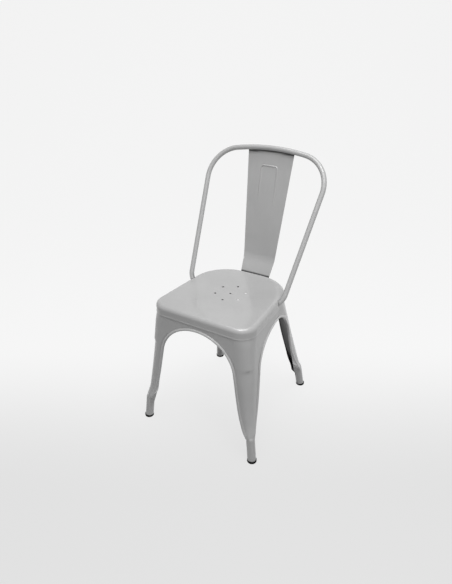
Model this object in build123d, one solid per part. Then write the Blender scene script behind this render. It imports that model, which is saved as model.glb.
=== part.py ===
from build123d import *
import os
from math import acos, atan2, cos, degrees, hypot, radians, sin, sqrt, tan
from types import SimpleNamespace

# Stackable sheet-steel chair. Millimetres, +Z up, the front faces -Y, the floor is Z = 0
# and the origin lies under the middle of the overall width and depth.

# Stance on the floor
OVERALL_HEIGHT = 850.0
FRONT_FOOT_SPACING = 400.0
REAR_FOOT_SPACING = 352.0
FOOT_DEPTH_SPACING = 425.0
FRONT_SPLAY_SIDEWAYS = 6.3
FRONT_SPLAY_FORWARD = 2.9
REAR_SPLAY_SIDEWAYS = 6.3
REAR_SPLAY_BACKWARD = 9.6

# Sheet and fits
SHEET = 1.2
LAP_CLEARANCE = 0.3
WELD_CLEARANCE = 0.25

# Seat pan
SEAT_FRONT_WIDTH = 341.0
SEAT_REAR_WIDTH = 320.0
SEAT_DEPTH = 351.0
SEAT_SETBACK = 12.5
SEAT_RIM_HEIGHT = 444.0
SEAT_DISH_DEPTH = 10.0
SEAT_DISH_STEPS = 5
SEAT_FRONT_CORNER_RADIUS = 50.0
SEAT_REAR_CORNER_RADIUS = 123.0
SEAT_ROLL_RADIUS = 14.0
SKIRT_DEPTH = 33.0
DRAIN_HOLE_DIAMETER = 7.5
DRAIN_RING_RADIUS = 48.5
DRAIN_RING_COUNT = 6
DRAIN_CENTRE_FROM_FRONT = 193.0

# Legs: pressed channels that close into tubes at the feet
LEG_LAP = 15.0
KNEE_HEIGHT = 140.0
KNEE_STEPS = 3
SHIN_STEPS = 4
ANKLE_HEIGHT = 92.0
FOOT_TUBE_DIAMETER = 27.0
FRONT_KNEE_TUCK_SIDEWAYS = 8.0
FRONT_KNEE_TUCK_BACKWARD = 8.0
FRONT_KNEE_RADIUS = 21.5
REAR_KNEE_TUCK_SIDEWAYS = -5.0
REAR_KNEE_TUCK_FORWARD = 18.4
REAR_KNEE_RADIUS = 30.0
FOOT_SLOT_HEIGHT = 34.0
FOOT_SLOT_WIDTH = 21.0
FRONT_RUN_OUT_HEIGHT = 64.0
REAR_RUN_OUT_HEIGHT = 54.0
RUN_OUT_RECESS = 0.2
BEAD_WIDTH = 8.0
BEAD_HEIGHT = 1.8
LIP_WIDTH = 1.8
LIP_DEPTH = 2.5
LIP_DEPTH_AT_ANKLE = 11.5
LIP_DEEPENS_BELOW = 220.0

# Arches between the legs; a wing is the sheet left beside the foot's axis at the ankle
FRONT_ARCH_BELOW_SKIRT = 18.5
FRONT_ARCH_HALF_SPAN = 127.0
FRONT_ARCH_RISE = 117.5
FRONT_LEG_FRONT_WING = 10.0
FRONT_LEG_SIDE_WING = 6.5
REAR_ARCH_BELOW_SKIRT = 29.5
REAR_ARCH_HALF_SPAN = 96.5
REAR_ARCH_RISE = 96.5
REAR_LEG_REAR_WING = 20.5
REAR_LEG_SIDE_WING = 12.0
SIDE_ARCH_BELOW_SKIRT = 28.0
SIDE_ARCH_BEHIND_SEAT_FRONT = 205.0
SIDE_ARCH_FRONT_SPAN = 140.5
SIDE_ARCH_FRONT_RISE = 103.0
SIDE_ARCH_REAR_SPAN = 79.0
SIDE_ARCH_REAR_RISE = 113.0
ARCH_SPRING_ANGLE = 9.0
FLARE_START_REACH = 0.5
FLARE_END_REACH = 0.2
FRONT_LEG_FRONT_FLARE = 42.0
FRONT_LEG_SIDE_FLARE = 42.0
REAR_LEG_REAR_FLARE = 17.0
REAR_LEG_SIDE_FLARE = 50.0

# Floor glides
GLIDE_DIAMETER = 29.4
GLIDE_HEIGHT = 8.0
GLIDE_EDGE_RADIUS = 2.0
GLIDE_STEM_LENGTH = 18.0
GLIDE_STEM_CLEARANCE = 0.3

# Back hoop, one tube bent in a leaning plane
TUBE_DIAMETER = 16.0
TUBE_WALL = 1.2
HOOP_TOP_BEHIND_FEET = 30.2
HOOP_CROWN_RADIUS = 681.0
HOOP_BEND_RADIUS = 100.5
HOOP_SPREAD = 405.4
HOOP_FOOT_ABOVE_SEAT = 15.3
HOOP_FOOT_BEHIND_SEAT_FRONT = 229.7
HOOP_FOOT_OUTSIDE_SEAT = 11.4
HOOP_END_BEND_RADIUS = 47.5
HOOP_END_ANGLE = 36.0
HOOP_END_LENGTH = 10.0

# Back splat, one bent sheet
SPLAT_TOP_WIDTH = 162.0
SPLAT_BEND_WIDTH = 116.0
SPLAT_FOOT_WIDTH = 105.5
SPLAT_TOP_BEHIND_HOOP = 3.2
SPLAT_FOOT_LEAN = 29.5
SPLAT_BEND_ABOVE_SEAT = 40.0
SPLAT_BEND_RADIUS = 40.0
SPLAT_TAB_LENGTH = 15.0
SPLAT_TAB_BEND_RADIUS = 6.0
RIB_WIDTH = 62.0
RIB_LENGTH = 140.0
RIB_BAND = 6.0
RIB_HEIGHT = 1.2
RIB_CORNER_RADIUS = 12.0
RIB_BELOW_TOP = 53.0

# Cross brace and stacking caps
BRACE_BELOW_SKIRT = 61.0
BRACE_WIDTH = 25.0
BRACE_THICKNESS = 3.0
CAP_FROM_CENTRE = 118.0
CAP_LENGTH = 32.0
CAP_WALL = 3.5
CAP_CLEARANCE = 0.2
CAP_EDGE_RADIUS = 1.5

# Worked out from the sizes above
glide_radius = GLIDE_DIAMETER / 2
foot_radius = FOOT_TUBE_DIAMETER / 2
tube_radius = TUBE_DIAMETER / 2
front_foot_y = (glide_radius - FOOT_DEPTH_SPACING - HOOP_TOP_BEHIND_FEET - tube_radius) / 2
rear_foot_y = front_foot_y + FOOT_DEPTH_SPACING
seat_front_y = front_foot_y + SEAT_SETBACK
seat_rear_y = seat_front_y + SEAT_DEPTH
skirt_edge = SEAT_RIM_HEIGHT - SKIRT_DEPTH
leg_top = skirt_edge + LEG_LAP
side_arch_y = seat_front_y + SIDE_ARCH_BEHIND_SEAT_FRONT
hoop_height = OVERALL_HEIGHT - tube_radius
hoop_y = rear_foot_y + HOOP_TOP_BEHIND_FEET
hoop_foot_height = SEAT_RIM_HEIGHT + HOOP_FOOT_ABOVE_SEAT
hoop_foot_y = seat_front_y + HOOP_FOOT_BEHIND_SEAT_FRONT
hoop_lean = atan2(hoop_y - hoop_foot_y, hoop_height - hoop_foot_height)
hoop_drop = hypot(hoop_y - hoop_foot_y, hoop_height - hoop_foot_height)
splat_bend_height = SEAT_RIM_HEIGHT + SPLAT_BEND_ABOVE_SEAT
brace_height = skirt_edge - BRACE_BELOW_SKIRT
side_arch_crown = skirt_edge - SIDE_ARCH_BELOW_SKIRT
reach = 2 * OVERALL_HEIGHT

# The two kinds of leg; toward is the way its end of the chair faces along Y
front_leg = SimpleNamespace(
    toward=-1,
    foot=(FRONT_FOOT_SPACING / 2, front_foot_y),
    lean=(tan(radians(FRONT_SPLAY_SIDEWAYS)), tan(radians(FRONT_SPLAY_FORWARD))),
    corner=(
        SEAT_FRONT_WIDTH / 2 - SEAT_FRONT_CORNER_RADIUS,
        seat_front_y + SEAT_FRONT_CORNER_RADIUS,
        SEAT_FRONT_CORNER_RADIUS,
    ),
    tuck=(FRONT_KNEE_TUCK_SIDEWAYS, FRONT_KNEE_TUCK_BACKWARD),
    knee_radius=FRONT_KNEE_RADIUS,
    end_arch=(FRONT_ARCH_HALF_SPAN, FRONT_ARCH_RISE, skirt_edge - FRONT_ARCH_BELOW_SKIRT),
    side_arch=(SIDE_ARCH_FRONT_SPAN, SIDE_ARCH_FRONT_RISE, side_arch_crown),
    wings=(FRONT_LEG_FRONT_WING, FRONT_LEG_SIDE_WING),
    flares=(FRONT_LEG_FRONT_FLARE, FRONT_LEG_SIDE_FLARE),
    run_out_height=FRONT_RUN_OUT_HEIGHT,
)
rear_leg = SimpleNamespace(
    toward=1,
    foot=(REAR_FOOT_SPACING / 2, rear_foot_y),
    lean=(tan(radians(REAR_SPLAY_SIDEWAYS)), tan(radians(REAR_SPLAY_BACKWARD))),
    corner=(
        SEAT_REAR_WIDTH / 2 - SEAT_REAR_CORNER_RADIUS,
        seat_rear_y - SEAT_REAR_CORNER_RADIUS,
        SEAT_REAR_CORNER_RADIUS,
    ),
    tuck=(REAR_KNEE_TUCK_SIDEWAYS, REAR_KNEE_TUCK_FORWARD),
    knee_radius=REAR_KNEE_RADIUS,
    end_arch=(REAR_ARCH_HALF_SPAN, REAR_ARCH_RISE, skirt_edge - REAR_ARCH_BELOW_SKIRT),
    side_arch=(SIDE_ARCH_REAR_SPAN, SIDE_ARCH_REAR_RISE, side_arch_crown),
    wings=(REAR_LEG_REAR_WING, REAR_LEG_SIDE_WING),
    flares=(REAR_LEG_REAR_FLARE, REAR_LEG_SIDE_FLARE),
    run_out_height=REAR_RUN_OUT_HEIGHT,
)


def foot_axis(leg, height):
    """Centre of a right-hand foot tube at a height above the floor."""
    x = leg.foot[0] - height * leg.lean[0]
    return x, leg.foot[1] - leg.toward * height * leg.lean[1]


def grown(circle, amount):
    return circle[0], circle[1], circle[2] + amount


def leg_circle(leg, height):
    """Corner circle (x, y, radius) of a leg's outer skin: a taper bowed in to the knee and out to the ankle."""
    top = grown(leg.corner, -SHEET - LAP_CLEARANCE)
    if height >= skirt_edge:
        return top
    ankle = (*foot_axis(leg, ANKLE_HEIGHT), foot_radius)
    share = (skirt_edge - height) / (skirt_edge - ANKLE_HEIGHT)
    knee_share = (skirt_edge - KNEE_HEIGHT) / (skirt_edge - ANKLE_HEIGHT)
    end = skirt_edge if height >= KNEE_HEIGHT else ANKLE_HEIGHT
    bow = 1 - ((height - KNEE_HEIGHT) / (end - KNEE_HEIGHT)) ** 2
    straight_radius = top[2] + (foot_radius - top[2]) * knee_share
    shift = (-leg.tuck[0], -leg.toward * leg.tuck[1], leg.knee_radius - straight_radius)
    return tuple(a + (b - a) * share + s * bow for a, b, s in zip(top, ankle, shift))


def side_angle(front_circle, rear_circle):
    """Direction of the outward normal of the line that touches both corner circles."""
    dx = rear_circle[0] - front_circle[0]
    dy = rear_circle[1] - front_circle[1]
    return atan2(dy, dx) - acos((front_circle[2] - rear_circle[2]) / hypot(dx, dy))


def leg_side_angle(height):
    return side_angle(leg_circle(front_leg, height), leg_circle(rear_leg, height))


def on_circle(circle, angle, height):
    return Vector(circle[0] + circle[2] * cos(angle), circle[1] + circle[2] * sin(angle), height)


def outline(front_circle, rear_circle, height):
    """Closed outline round four corner circles, two right-hand ones and their mirror images."""
    turn = side_angle(front_circle, rear_circle)
    front, rear = radians(-90), radians(90)
    right = [on_circle(front_circle, angle, height) for angle in (front, (front + turn) / 2, turn)]
    right += [on_circle(rear_circle, angle, height) for angle in (turn, (turn + rear) / 2, rear)]
    left = [Vector(-p.X, p.Y, p.Z) for p in right]
    edges = [
        Line(left[0], right[0]),
        ThreePointArc(right[0], right[1], right[2]),
        Line(right[2], right[3]),
        ThreePointArc(right[3], right[4], right[5]),
        Line(right[5], left[5]),
        ThreePointArc(left[5], left[4], left[3]),
        Line(left[3], left[2]),
        ThreePointArc(left[2], left[1], left[0]),
    ]
    return Face(Wire(edges))


def seat_side_x(y):
    """Half the seat's width where its side is straight."""
    turn = side_angle(front_leg.corner, rear_leg.corner)
    bend = on_circle(front_leg.corner, turn, SEAT_RIM_HEIGHT)
    return bend.X - (y - bend.Y) * tan(turn)


def seat_block(grow, top, roll):
    """The seat's outer form, grown sideways, with its top edge rolled over."""
    face = outline(grown(front_leg.corner, grow), grown(rear_leg.corner, grow), skirt_edge)
    block = extrude(face, amount=top - skirt_edge, dir=(0, 0, 1))
    return fillet(block.edges().group_by(Axis.Z)[-1], roll)


def seat_bowl(drop):
    """Hollow of the dish: the seat's outline shrunk in steps as it goes down."""
    middle_y = (seat_front_y + seat_rear_y) / 2
    rim_share = 1 - 2 * (SEAT_ROLL_RADIUS + SHEET) / SEAT_REAR_WIDTH
    faces = []
    for step in range(SEAT_DISH_STEPS):
        share = 1 - step / SEAT_DISH_STEPS
        size = share * rim_share
        circles = []
        for leg in (front_leg, rear_leg):
            x, y, radius = leg.corner
            circles.append((x * size, middle_y + (y - middle_y) * size, radius * size))
        depth = SEAT_DISH_DEPTH * (1 - share ** 2) ** 2
        faces.append(outline(*circles, SEAT_RIM_HEIGHT - depth - drop))
    return loft(faces)


def seat_pan():
    outer = seat_block(0, SEAT_RIM_HEIGHT, SEAT_ROLL_RADIUS) - seat_bowl(0)
    inner = seat_block(-SHEET, SEAT_RIM_HEIGHT - SHEET, SEAT_ROLL_RADIUS - SHEET) - seat_bowl(SHEET)
    pan = outer - inner
    centre_y = seat_front_y + DRAIN_CENTRE_FROM_FRONT
    drill = Cylinder(DRAIN_HOLE_DIAMETER / 2, 2 * SKIRT_DEPTH)
    pan -= Pos(0, centre_y, SEAT_RIM_HEIGHT) * drill
    for turn in range(DRAIN_RING_COUNT):
        angle = radians(90 + turn * 360 / DRAIN_RING_COUNT)
        x = DRAIN_RING_RADIUS * cos(angle)
        pan -= Pos(x, centre_y + DRAIN_RING_RADIUS * sin(angle), SEAT_RIM_HEIGHT) * drill
    return pan


def lip_depth(height):
    """Depth of the turned-in hem, deeper where the channel closes towards the foot."""
    share = max(0, (LIP_DEEPENS_BELOW - height) / (LIP_DEEPENS_BELOW - ANKLE_HEIGHT))
    return LIP_DEPTH + (LIP_DEPTH_AT_ANKLE - LIP_DEPTH) * share


def sheet_depth(height):
    return SHEET


def channel_section(leg, height, outside, inside):
    """Right-hand leg section: one wing to the middle of the chair, one to the side split."""
    turn = leg_side_angle(height)
    facing = radians(90 * leg.toward)
    sides = []
    for amount in (outside, -inside):
        ring = grown(leg_circle(leg, height), amount)
        bend = on_circle(ring, turn, height)
        wing = on_circle(ring, facing, height)
        middle = on_circle(ring, (facing + turn) / 2, height)
        split_x = bend.X - (side_arch_y - bend.Y) * tan(turn)
        sides.append([Vector(0, wing.Y, height), wing, middle, bend, Vector(split_x, side_arch_y, height)])
    out, back = sides
    edges = [
        Line(out[0], out[1]),
        ThreePointArc(out[1], out[2], out[3]),
        Line(out[3], out[4]),
        Line(out[4], back[4]),
        Line(back[4], back[3]),
        ThreePointArc(back[3], back[2], back[1]),
        Line(back[1], back[0]),
        Line(back[0], out[0]),
    ]
    return Face(Wire(edges))


def channel(leg, outside, inside):
    """Leg skin from the seat to the ankle; inside gives its depth at each height."""
    shin = (skirt_edge - KNEE_HEIGHT) / SHIN_STEPS
    step = (KNEE_HEIGHT - ANKLE_HEIGHT) / KNEE_STEPS
    heights = [leg_top] + [skirt_edge - shin * k for k in range(SHIN_STEPS)]
    heights += [KNEE_HEIGHT - step * k for k in range(KNEE_STEPS + 1)]
    return loft([channel_section(leg, z, outside, inside(z)) for z in heights], ruled=True)


def arch_face(arch, ankle, flare, widen):
    """Half of an arch opening: an ellipse from the crown, then a curve that flares out to the ankle."""
    span, rise, crown = arch
    centre = (0, crown - rise)
    quarter = 90 - ARCH_SPRING_ANGLE
    ellipse = EllipticalCenterArc(centre, span + widen, rise + widen, ARCH_SPRING_ANGLE, arc_size=quarter)
    start = ellipse @ 0
    end = Vector(ankle + widen, ANKLE_HEIGHT)
    chord = (end - start).length
    leaving = start - (ellipse % 0) * (FLARE_START_REACH * chord)
    arriving = end - Vector(sin(radians(flare)), -cos(radians(flare))) * (FLARE_END_REACH * chord)
    curve = Bezier(start, leaving, arriving, end)
    corner = (ankle + widen, 0)
    edges = [ellipse, curve, Line(end, corner), Line(corner, (0, 0)), Line((0, 0), ellipse @ 1)]
    return Face(Wire(edges))


def arch_cut(leg, sideways, widen):
    """Solid that opens one arch of a right-hand leg; widen moves its edge into the leg."""
    x, y = foot_axis(leg, ANKLE_HEIGHT)
    if sideways:
        face = arch_face(leg.side_arch, abs(y - side_arch_y) - leg.wings[1], leg.flares[1], widen)
        drawing = Plane((0, side_arch_y, 0), x_dir=(0, leg.toward, 0), z_dir=(leg.toward, 0, 0))
        return extrude(drawing * face, amount=reach, dir=(1, 0, 0))
    face = arch_face(leg.end_arch, x - leg.wings[0], leg.flares[0], widen)
    drawing = Plane((0, side_arch_y, 0), x_dir=(1, 0, 0), z_dir=(0, -1, 0))
    return extrude(drawing * face, amount=reach, dir=(0, leg.toward, 0))


def foot_column(leg, radius, bottom, top):
    """Leaning round column along a right-hand foot's axis, level at both ends."""
    rings = [Pos(*foot_axis(leg, height), height) * Circle(radius).face() for height in (bottom, top)]
    return loft(rings, ruled=True)


def foot_tube(leg):
    """Rolled foot of a leg, with the pressing's seam gaping towards the chair's middle."""
    tube = foot_column(leg, foot_radius, GLIDE_HEIGHT, ANKLE_HEIGHT)
    tube -= foot_column(leg, foot_radius - SHEET, GLIDE_HEIGHT, ANKLE_HEIGHT)
    x, y = foot_axis(leg, ANKLE_HEIGHT)
    inward = degrees(atan2(side_arch_y - y, -x))
    slot = [(0, FOOT_SLOT_HEIGHT), (FOOT_SLOT_WIDTH / 2, ANKLE_HEIGHT), (-FOOT_SLOT_WIDTH / 2, ANKLE_HEIGHT)]
    wedge = extrude(Plane.YZ * make_face(Polyline(*slot, close=True)), amount=3 * foot_radius)
    return tube - Pos(x, y, 0) * Rot(0, 0, inward) * wedge


def run_out(leg, sideways):
    """Lower end of a wing: a fin that narrows on to the foot tube, with its turned-in lip."""
    turn = leg_side_angle(ANKLE_HEIGHT)
    if sideways:
        out = Vector(cos(turn), sin(turn))
        along = Vector(sin(turn), -cos(turn)) * leg.toward
    else:
        out = Vector(0, leg.toward)
        along = Vector(-1, 0)
    top = Vector(*foot_axis(leg, ANKLE_HEIGHT), ANKLE_HEIGHT) + out * (foot_radius - RUN_OUT_RECESS)
    low = Vector(*foot_axis(leg, leg.run_out_height), leg.run_out_height) + out * (foot_radius - SHEET / 4)
    tip = top + along * leg.wings[1 if sideways else 0]
    fin = extrude(Face(Wire.make_polygon([top, tip, low])), amount=SHEET - 2 * RUN_OUT_RECESS, dir=-out)
    lip_face = Face(Wire.make_polygon([tip, tip - out * LIP_DEPTH_AT_ANKLE, low]))
    return fin + extrude(lip_face, amount=LIP_WIDTH, dir=-along)


def pressed_leg(leg):
    """Right-hand leg: pressed channel, two arches with raised beads and turned-in lips, rolled foot."""
    body = channel(leg, 0, sheet_depth)
    bead = channel(leg, BEAD_HEIGHT, sheet_depth)
    lip = channel(leg, 0, lip_depth)
    openings = [arch_cut(leg, sideways, 0) for sideways in (False, True)]
    for sideways in (False, True):
        body += bead & arch_cut(leg, sideways, BEAD_WIDTH)
        body += lip & arch_cut(leg, sideways, LIP_WIDTH)
    for opening in openings:
        body -= opening
    body += foot_tube(leg)
    return body + run_out(leg, False) + run_out(leg, True)


def floor_glide(leg):
    """Rubber plug: a round cap under the foot tube and a stem inside it."""
    x, y = foot_axis(leg, 0)
    cap = Pos(x, y, GLIDE_HEIGHT / 2) * Cylinder(glide_radius, GLIDE_HEIGHT)
    cap = fillet(cap.edges().filter_by(GeomType.CIRCLE).group_by(Axis.Z)[0], GLIDE_EDGE_RADIUS)
    stem_radius = foot_radius - SHEET - GLIDE_STEM_CLEARANCE
    return cap + foot_column(leg, stem_radius, GLIDE_HEIGHT, GLIDE_HEIGHT + GLIDE_STEM_LENGTH)


def hoop_points():
    """Right half of the hoop's centre line in its own plane, from the crown's end to the tip."""
    ending = radians(HOOP_END_ANGLE)
    centre_x = HOOP_SPREAD / 2 - HOOP_BEND_RADIUS
    rise = sqrt((HOOP_CROWN_RADIUS - HOOP_BEND_RADIUS) ** 2 - centre_x ** 2)
    bend_centre = Vector(centre_x, rise - HOOP_CROWN_RADIUS)
    foot = Vector(seat_side_x(hoop_foot_y) + HOOP_FOOT_OUTSIDE_SEAT, -hoop_drop)
    away = foot - bend_centre
    flare = -atan2(away.Y, away.X) - acos(HOOP_BEND_RADIUS / away.length)
    lead = atan2(rise, centre_x)
    turns = (lead, (lead - flare) / 2, -flare)
    points = [bend_centre + Vector(cos(a), sin(a)) * HOOP_BEND_RADIUS for a in turns]
    end_centre = foot - Vector(cos(flare), -sin(flare)) * HOOP_END_BEND_RADIUS
    turns = (-flare, -(flare + ending) / 2, -ending)
    points += [end_centre + Vector(cos(a), sin(a)) * HOOP_END_BEND_RADIUS for a in turns]
    return points + [points[-1] - Vector(sin(ending), cos(ending)) * HOOP_END_LENGTH]


def hoop_bar(radius):
    """Round bar along the whole hoop."""
    right = hoop_points()
    left = [Vector(-p.X, p.Y) for p in right]
    path = Wire([
        Line(left[6], left[5]),
        ThreePointArc(left[5], left[4], left[3]),
        Line(left[3], left[2]),
        ThreePointArc(left[2], left[1], left[0]),
        ThreePointArc(left[0], (0, 0), right[0]),
        ThreePointArc(right[0], right[1], right[2]),
        Line(right[2], right[3]),
        ThreePointArc(right[3], right[4], right[5]),
        Line(right[5], right[6]),
    ])
    facing = (0, -cos(hoop_lean), sin(hoop_lean))
    path = Plane((0, hoop_y, hoop_height), x_dir=(1, 0, 0), z_dir=facing) * path
    return sweep(Plane(path @ 0, z_dir=path % 0) * Circle(radius), path=path)


def back_hoop():
    bar = hoop_bar(tube_radius) - hoop_bar(tube_radius - TUBE_WALL)
    return bar - seat_block(WELD_CLEARANCE, SEAT_RIM_HEIGHT + WELD_CLEARANCE, SEAT_ROLL_RADIUS)


def rib_face(inset):
    """Rib on the splat: a band turned down at both sides and thinned to nothing at its ends."""
    half = RIB_WIDTH / 2 - inset
    band = RIB_BAND - 2 * inset
    drop = inset - RIB_LENGTH
    outside = [(-half, drop), (-half, -inset), (half, -inset), (half, drop)]
    inside = [(-half, drop), (band - half, -inset - band), (half - band, -inset - band), (half, drop)]
    faces = []
    for points, radius in ((outside, RIB_CORNER_RADIUS - inset), (inside, RIB_CORNER_RADIUS - inset - band)):
        face = make_face(Polyline(*points, close=True))
        faces.append(fillet(face.vertices().sort_by(Axis.Y)[-2:], radius))
    return faces[0] - faces[1]


def back_splat():
    """Sheet bent in side view, cut to its tapered front view and fitted under the hoop."""
    tab_y = seat_rear_y + WELD_CLEARANCE
    tab_top = skirt_edge + SPLAT_TAB_LENGTH
    bend_y = tab_y + (splat_bend_height - tab_top) * tan(radians(SPLAT_FOOT_LEAN))
    top_y = hoop_y + SPLAT_TOP_BEHIND_HOOP
    lean = atan2(top_y - bend_y, hoop_height - splat_bend_height)
    side = FilletPolyline(
        (tab_y, skirt_edge),
        (tab_y, tab_top),
        (bend_y, splat_bend_height),
        (top_y, hoop_height),
        radius=[SPLAT_TAB_BEND_RADIUS, SPLAT_BEND_RADIUS],
    )
    profile = make_face(offset(side, SHEET, side=Side.RIGHT, closed=True))
    sheet = extrude(Plane.YZ * profile, amount=SPLAT_TOP_WIDTH, both=True)
    half = [
        (SPLAT_FOOT_WIDTH / 2, skirt_edge),
        (SPLAT_FOOT_WIDTH / 2, tab_top),
        (SPLAT_BEND_WIDTH / 2, splat_bend_height),
        (SPLAT_TOP_WIDTH / 2, hoop_height),
    ]
    front_view = make_face(Polyline(*half, *[(-x, z) for x, z in half[::-1]], close=True))
    sheet &= extrude(Plane.XZ * front_view, amount=reach, both=True)
    face_plane = Plane((0, top_y, hoop_height), x_dir=(1, 0, 0), z_dir=(0, -cos(lean), sin(lean)))
    rib_plane = face_plane * Pos(0, -RIB_BELOW_TOP, 0)
    sheet += extrude(rib_plane * rib_face(0), amount=RIB_HEIGHT)
    groove = extrude(rib_plane * Pos(0, 0, -SHEET) * rib_face(SHEET), amount=RIB_HEIGHT)
    return sheet - groove - hoop_bar(tube_radius + WELD_CLEARANCE)


def brace_turn():
    """Direction in plan of the bar from the front left leg to the rear right leg."""
    front = leg_circle(front_leg, brace_height)
    rear = leg_circle(rear_leg, brace_height)
    return degrees(atan2(rear[1] - front[1], rear[0] + front[0]))


def brace_centre():
    """Plan point where the two bars cross."""
    front = leg_circle(front_leg, brace_height)
    return front[1] + front[0] * tan(radians(brace_turn()))


def brace_bar(level):
    """Flat bar from the front left leg to the rear right leg, its ends cut to the legs' insides."""
    bar = Rot(0, 0, brace_turn()) * Box(reach, BRACE_WIDTH, BRACE_THICKNESS)
    bar = Pos(0, brace_centre(), brace_height + (level + 0.5) * BRACE_THICKNESS) * bar
    inside = []
    for height in (brace_height - BRACE_THICKNESS, brace_height + 3 * BRACE_THICKNESS):
        circles = [grown(leg_circle(leg, height), -SHEET - WELD_CLEARANCE) for leg in (front_leg, rear_leg)]
        inside.append(outline(*circles, height))
    return bar & loft(inside, ruled=True)


def stack_cap(level, end):
    """Plastic sleeve slid on an arm of a brace bar; end is 1 for the rear arm and -1 for the front one."""
    room = 2 * CAP_CLEARANCE
    width = BRACE_WIDTH + room
    height = BRACE_THICKNESS + room
    cap = Box(CAP_LENGTH, width + 2 * CAP_WALL, height + 2 * CAP_WALL)
    cap = fillet(cap.edges().filter_by(Axis.X), CAP_EDGE_RADIUS) - Box(2 * CAP_LENGTH, width, height)
    place = Pos(0, brace_centre(), brace_height + (level + 0.5) * BRACE_THICKNESS)
    return place * Rot(0, 0, brace_turn()) * Pos(end * CAP_FROM_CENTRE, 0, 0) * cap


def main():
    parts = {
        "seat_pan": seat_pan(),
        "back_hoop": back_hoop(),
        "back_splat": back_splat(),
        "brace_bar_lower": brace_bar(0),
        "brace_bar_upper": mirror(brace_bar(1), about=Plane.YZ),
        "stack_cap_rear_right": stack_cap(0, 1),
        "stack_cap_front_left": stack_cap(0, -1),
        "stack_cap_rear_left": mirror(stack_cap(1, 1), about=Plane.YZ),
        "stack_cap_front_right": mirror(stack_cap(1, -1), about=Plane.YZ),
    }
    for end, leg in (("front", front_leg), ("rear", rear_leg)):
        for name, shape in (("leg", pressed_leg(leg)), ("floor_glide", floor_glide(leg))):
            parts[f"{name}_{end}_right"] = shape
            parts[f"{name}_{end}_left"] = mirror(shape, about=Plane.YZ)
    os.makedirs("parts", exist_ok=True)
    for name, shape in parts.items():
        export_step(shape, f"parts/{name}.step")


main()
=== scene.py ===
# %% [markdown]
# # A stackable sheet-steel chair
# The real chair is pressed from thin steel sheet, welded and sprayed with light grey paint.
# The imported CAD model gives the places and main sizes. Each visible piece is then laid out
# again as a smooth surface, so that rolls, hems and bends shade like pressed metal.

# %% Load the frame
from types import SimpleNamespace

import bpy
import numpy as np
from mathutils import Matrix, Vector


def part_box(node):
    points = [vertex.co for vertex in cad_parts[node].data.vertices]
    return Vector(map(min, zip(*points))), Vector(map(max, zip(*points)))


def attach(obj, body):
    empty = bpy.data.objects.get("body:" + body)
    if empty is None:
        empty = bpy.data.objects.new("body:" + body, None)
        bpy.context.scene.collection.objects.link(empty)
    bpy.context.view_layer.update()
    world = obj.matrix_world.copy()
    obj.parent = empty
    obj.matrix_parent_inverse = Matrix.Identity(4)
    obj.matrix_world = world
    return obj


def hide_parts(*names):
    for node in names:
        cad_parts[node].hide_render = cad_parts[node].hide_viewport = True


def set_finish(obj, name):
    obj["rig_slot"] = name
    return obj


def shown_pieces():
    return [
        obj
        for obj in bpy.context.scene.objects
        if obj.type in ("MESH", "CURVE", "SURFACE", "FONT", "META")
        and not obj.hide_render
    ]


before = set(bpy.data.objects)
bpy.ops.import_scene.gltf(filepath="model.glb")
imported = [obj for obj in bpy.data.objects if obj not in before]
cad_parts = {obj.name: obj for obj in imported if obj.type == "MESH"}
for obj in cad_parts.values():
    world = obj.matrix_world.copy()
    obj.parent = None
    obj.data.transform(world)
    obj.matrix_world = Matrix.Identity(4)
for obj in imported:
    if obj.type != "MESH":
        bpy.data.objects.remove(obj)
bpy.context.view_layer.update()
MM = 0.001

# %% [markdown]
# ## From grids to pieces
# Every piece is one or more closed surfaces. A surface is a grid of points, rows along one
# parameter and columns along the other, so a whole sheet can be worked out in a few array steps.

# %% Grid helpers
def strip_faces(rows, columns, ring=False):
    """Quads between neighbouring rows and columns of a grid; ring joins the last column to the first."""
    index = np.arange(rows * columns).reshape(rows, columns)
    if ring:
        index = np.hstack([index, index[:, :1]])
    corners = (index[:-1, :-1], index[:-1, 1:], index[1:, 1:], index[1:, :-1])
    return np.stack(corners, axis=-1).reshape(-1, 4)


def slab(outside, inside):
    """Closed sheet between two grids of the same size: both faces and the four rims."""
    rows, columns = outside.shape[:2]
    points = np.concatenate([outside, inside[:, ::-1]], axis=1)
    width = 2 * columns
    faces = [strip_faces(rows, width, ring=True)]
    near = np.arange(columns - 1)
    for start in (0, (rows - 1) * width):
        rim = [start + near, start + near + 1, start + width - 2 - near, start + width - 1 - near]
        faces.append(np.stack(rim, axis=-1) if start else np.stack(rim[::-1], axis=-1))
    return points.reshape(-1, 3), np.concatenate(faces).tolist()


def rod(rings):
    """Closed bar through a row of rings, with a flat face on each end."""
    rows, columns = rings.shape[:2]
    faces = strip_faces(rows, columns, ring=True).tolist()
    last = np.arange((rows - 1) * columns, rows * columns)
    return rings.reshape(-1, 3), faces + [last.tolist(), np.arange(columns)[::-1].tolist()]


def turned_outward(points, faces):
    """Faces in an order that points outward: the volume under a closed surface has to be positive."""
    volume = 0.0
    for size in sorted({len(face) for face in faces}):
        ring = points[np.array([face for face in faces if len(face) == size])]
        fans = np.cross(ring[:, 1:-1], ring[:, 2:])
        volume += np.einsum("fk,fjk->", ring[:, 0], fans)
    return faces if volume > 0 else [face[::-1] for face in faces]


CREASE_ANGLE = np.radians(38)


def joined(shells):
    """Points and outward faces of several closed shells, as one list of each."""
    points, faces = [], []
    offset = 0
    for shell_points, shell_faces in shells:
        turned = turned_outward(shell_points, shell_faces)
        faces += [[offset + corner for corner in face] for face in turned]
        points.append(shell_points)
        offset += len(shell_points)
    return np.concatenate(points), faces


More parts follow.
